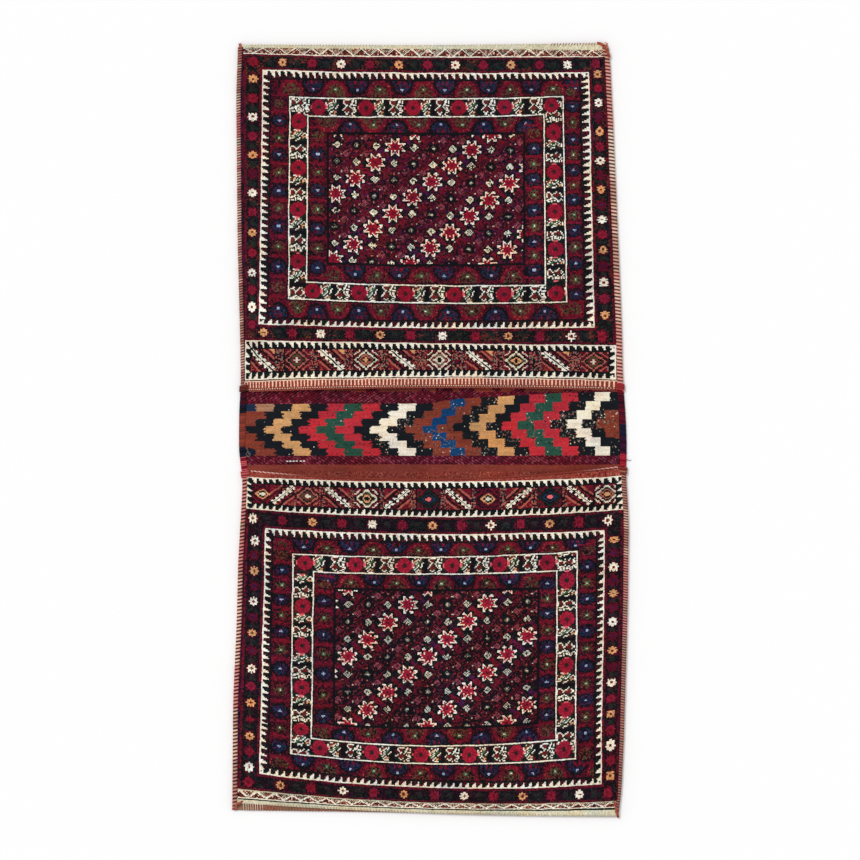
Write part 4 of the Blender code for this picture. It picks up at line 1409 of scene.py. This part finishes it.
def make_seam(pouch, material):
    name = f"{POUCH_NAMES[pouch]}_end_seam"
    front, back = (rows[END_ROW[pouch]] for rows in (POUCHES[pouch]["rows"], BACK_ROWS))
    luck = default_rng(210 + pouch)
    yarns = Yarns()
    for first, last, count, colour, reach in END_STITCHES[pouch]:
        for px in np.linspace(first, last, count):
            edge = np.interp(px, ROW_PLACES, front)
            tip = np.interp(px, STATIONS, back)
            outer = (min(edge, tip) - 0.5) if pouch == UPPER else (max(edge, tip) + 0.5)
            inner = edge + pouch * reach
            lean = luck.uniform(0.2, 0.5) * (reach + 0.4)
            py = (inner, (inner + edge) / 2, edge, outer, outer + pouch * 0.4)
            x, y = on_bag(px + lean * np.array(STITCH_LEANS), np.array(py))
            shade = dye(colour) * math.exp(luck.normal(0, 0.1))
            yarns.tube(x, y, STITCH_HEIGHTS, STITCH_RADIUS, shade, 5)
    yarns.show(name, "stitches", material, "seam_thread")


CORD_PLIES = {UPPER: ("brick", "dusty"), LOWER: ("oat", "rose")}
CORD_TWIST = 0.0068
CORD_STEP = 0.0011
CORD_GAP = 0.0003
MOUTH_ENDS = (241, 622)


def make_mouth_cord(pouch, material):
    """Two plies twisted together along a mouth's edge."""
    name = f"{POUCH_NAMES[pouch]}_mouth_cord"
    low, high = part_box(name)
    rows = np.array(POUCHES[pouch]["rows"])
    x = np.arange(low.x, high.x, CORD_STEP)
    share = (x / PIXEL + MIDDLE_X - MOUTH_ENDS[0]) / (MOUTH_ENDS[1] - MOUTH_ENDS[0])
    edge = (MIDDLE_Y - bowed(*rows[MOUTH_ROW[pouch]], share, ROW_INSETS[0])) * PIXEL
    y = edge - pouch * (CORD_GAP + CORD_DIAMETER / 2)
    z = front_under(pouch, rows[END_ROW[pouch]], x, edge) + FLAT_THICKNESS / 2
    turn = x / CORD_TWIST * 2 * math.pi
    ply = CORD_DIAMETER / 4
    yarns = Yarns()
    for start, colour in zip((0.0, math.pi), CORD_PLIES[pouch]):
        shade = dye(colour)
        if pouch == LOWER:
            plain = ease((0.47 - abs(share - 0.53)) / 0.12)[:, None]
            shade = shade * (1 - plain) + dye("brick") * plain
        yarns.tube(x, y + ply * np.cos(turn + start), z + ply * np.sin(turn + start), ply * 1.1, shade)
    yarns.show(name, "plies", material, "cord_wool")


# Materials

def wire(tree, node, inputs):
    """Sets a node's inputs, by name or number: a socket is linked, and anything else is a value."""
    for key, value in inputs.items():
        if isinstance(value, bpy.types.NodeSocket):
            tree.links.new(value, node.inputs[key])
        else:
            node.inputs[key].default_value = value
    return node


def add_node(tree, kind, inputs, **settings):
    node = tree.nodes.new("ShaderNode" + kind)
    for name, value in settings.items():
        setattr(node, name, value)
    return wire(tree, node, inputs)


def calculate(tree, operation, *values):
    return add_node(tree, "Math", dict(enumerate(values)), operation=operation).outputs[0]


def wool_material(name, fibre, depth, roughness, fleck, weave=None):
    """Dyed wool: the cells' own colours, mottled by fibres, with a soft sheen and a fine relief.

    weave gives the periods of the wefts and warps whose ribs show.
    """
    material = bpy.data.materials.new(name)
    material.use_nodes = True
    tree = material.node_tree
    place = add_node(tree, "TexCoord", {}).outputs["Object"]
    dyed = add_node(tree, "Attribute", {}, attribute_name="wool").outputs["Color"]
    fibres, fading = (
        add_node(tree, "TexNoise", {"Vector": place, "Scale": scale, "Detail": detail}).outputs["Fac"]
        for scale, detail in ((1 / fibre, 3.0), (9.0, 4.0))
    )

    def ranged(source, reach):
        ends = {"From Min": 0.3, "From Max": 0.7, "To Min": 1 - reach, "To Max": 1 + reach}
        return add_node(tree, "MapRange", {"Value": source, **ends}).outputs["Result"]

    light = calculate(tree, "MULTIPLY", ranged(fibres, fleck), ranged(fading, 0.07))
    mottled = add_node(tree, "VectorMath", {0: dyed, "Scale": light}, operation="SCALE").outputs["Vector"]
    relief = fibres
    if weave:
        axes = add_node(tree, "SeparateXYZ", {0: place}).outputs
        ribs = [
            calculate(tree, "SINE", calculate(tree, "MULTIPLY", axes[axis], 2 * math.pi / period))
            for axis, period in zip("XY", weave)
        ]
        relief = calculate(tree, "MULTIPLY_ADD", calculate(tree, "MULTIPLY", *ribs), 0.5, fibres)
    bump = add_node(tree, "Bump", {"Strength": 0.6, "Distance": depth, "Height": relief}).outputs["Normal"]
    wire(tree, tree.nodes["Principled BSDF"], {
        "Base Color": mottled, "Roughness": roughness, "Specular IOR Level": 0.05, "Sheen Weight": 0.04,
        "Sheen Roughness": 0.45, "Normal": bump,
    })
    return material


# The stage

CAMERA_LENS = 130.0
CAMERA_REACH = 50.0
SENSOR = 36.0
FOCUS_HEIGHT = 0.012
SKY_LIGHT = 0.66
SUN_LIGHT = 1.34
SUN_WIDTH = 18
SUN_TURN = (-24, -26)
WHITE = (1.0, 1.0, 1.0, 1.0)
FLOOR_WHITE = (0.985, 0.985, 0.985, 1.0)
FLOOR_HALF = 3.0
FLOOR_STEPS = 6


def make_camera():
    camera = add_object("camera", bpy.data.cameras.new("camera"))
    camera.data.lens = CAMERA_LENS
    camera.data.sensor_width = SENSOR
    x, y = on_bag(PICTURE / 2, PICTURE / 2)
    camera.location = (x, y, FOCUS_HEIGHT + PICTURE * PIXEL * CAMERA_LENS / SENSOR)
    camera.data.clip_end = CAMERA_REACH
    bpy.context.scene.camera = camera


def make_floor():
    ticks = np.linspace(-FLOOR_HALF, FLOOR_HALF, FLOOR_STEPS + 1)
    index = np.arange(len(ticks) ** 2).reshape(len(ticks), -1)
    mesh = bpy.data.meshes.new("floor")
    mesh.from_pydata([(x, y, 0.0) for y in ticks for x in ticks], [], quads_of(index).tolist())
    floor = add_object("floor", mesh)
    material = bpy.data.materials.new("floor")
    material.use_nodes = True
    tree = material.node_tree
    looks = {"Base Color": FLOOR_WHITE, "Roughness": 0.95, "Specular IOR Level": 0.0}
    wire(tree, tree.nodes["Principled BSDF"], looks)
    mesh.materials.append(material)


def make_light():
    """A soft sky that looks white to the camera, and a wide sun."""
    world = bpy.data.worlds.new("studio")
    bpy.context.scene.world = world
    world.use_nodes = True
    tree = world.node_tree
    soft = wire(tree, tree.nodes["Background"], {"Color": WHITE, "Strength": SKY_LIGHT})
    white = add_node(tree, "Background", {"Color": WHITE, "Strength": 1.0})
    rays = add_node(tree, "LightPath", {}).outputs
    seen = rays["Is Camera Ray"]
    for ray in ("Is Glossy Ray", "Is Transmission Ray"):
        seen = calculate(tree, "MAXIMUM", seen, rays[ray])
    mix = add_node(tree, "MixShader", {"Fac": seen, 1: soft.outputs[0], 2: white.outputs[0]})
    wire(tree, tree.nodes["World Output"], {"Surface": mix.outputs[0]})
    sun = add_object("sun", bpy.data.lights.new("sun", "SUN"))
    sun.data.energy = SUN_LIGHT
    sun.data.angle = math.radians(SUN_WIDTH)
    sun.rotation_euler = (*np.radians(SUN_TURN), 0.0)


def main():
    bpy.context.scene.view_settings.view_transform = "Standard"
    make_camera()
    make_floor()
    make_light()
    pile = wool_material("pile_wool", 0.0011, 0.0011, 0.92, 0.2)
    weave = wool_material("woven_wool", 0.0008, 0.0006, 0.9, 0.14, weave=(0.0032, 0.0016))
    yarn = wool_material("yarn_wool", 0.0006, 0.0004, 0.88, 0.16)
    make_back(weave)
    for pouch in POUCH_NAMES:
        make_front(pouch, pile)
        make_seam(pouch, yarn)
        make_mouth_cord(pouch, yarn)
        for side in SIDE_NAMES:
            make_binding(pouch, side, yarn)
            make_tie(pouch, side, yarn)
            make_tuft(pouch, side, yarn)
    for side in SIDE_NAMES:
        make_selvedge(side, yarn)


main()
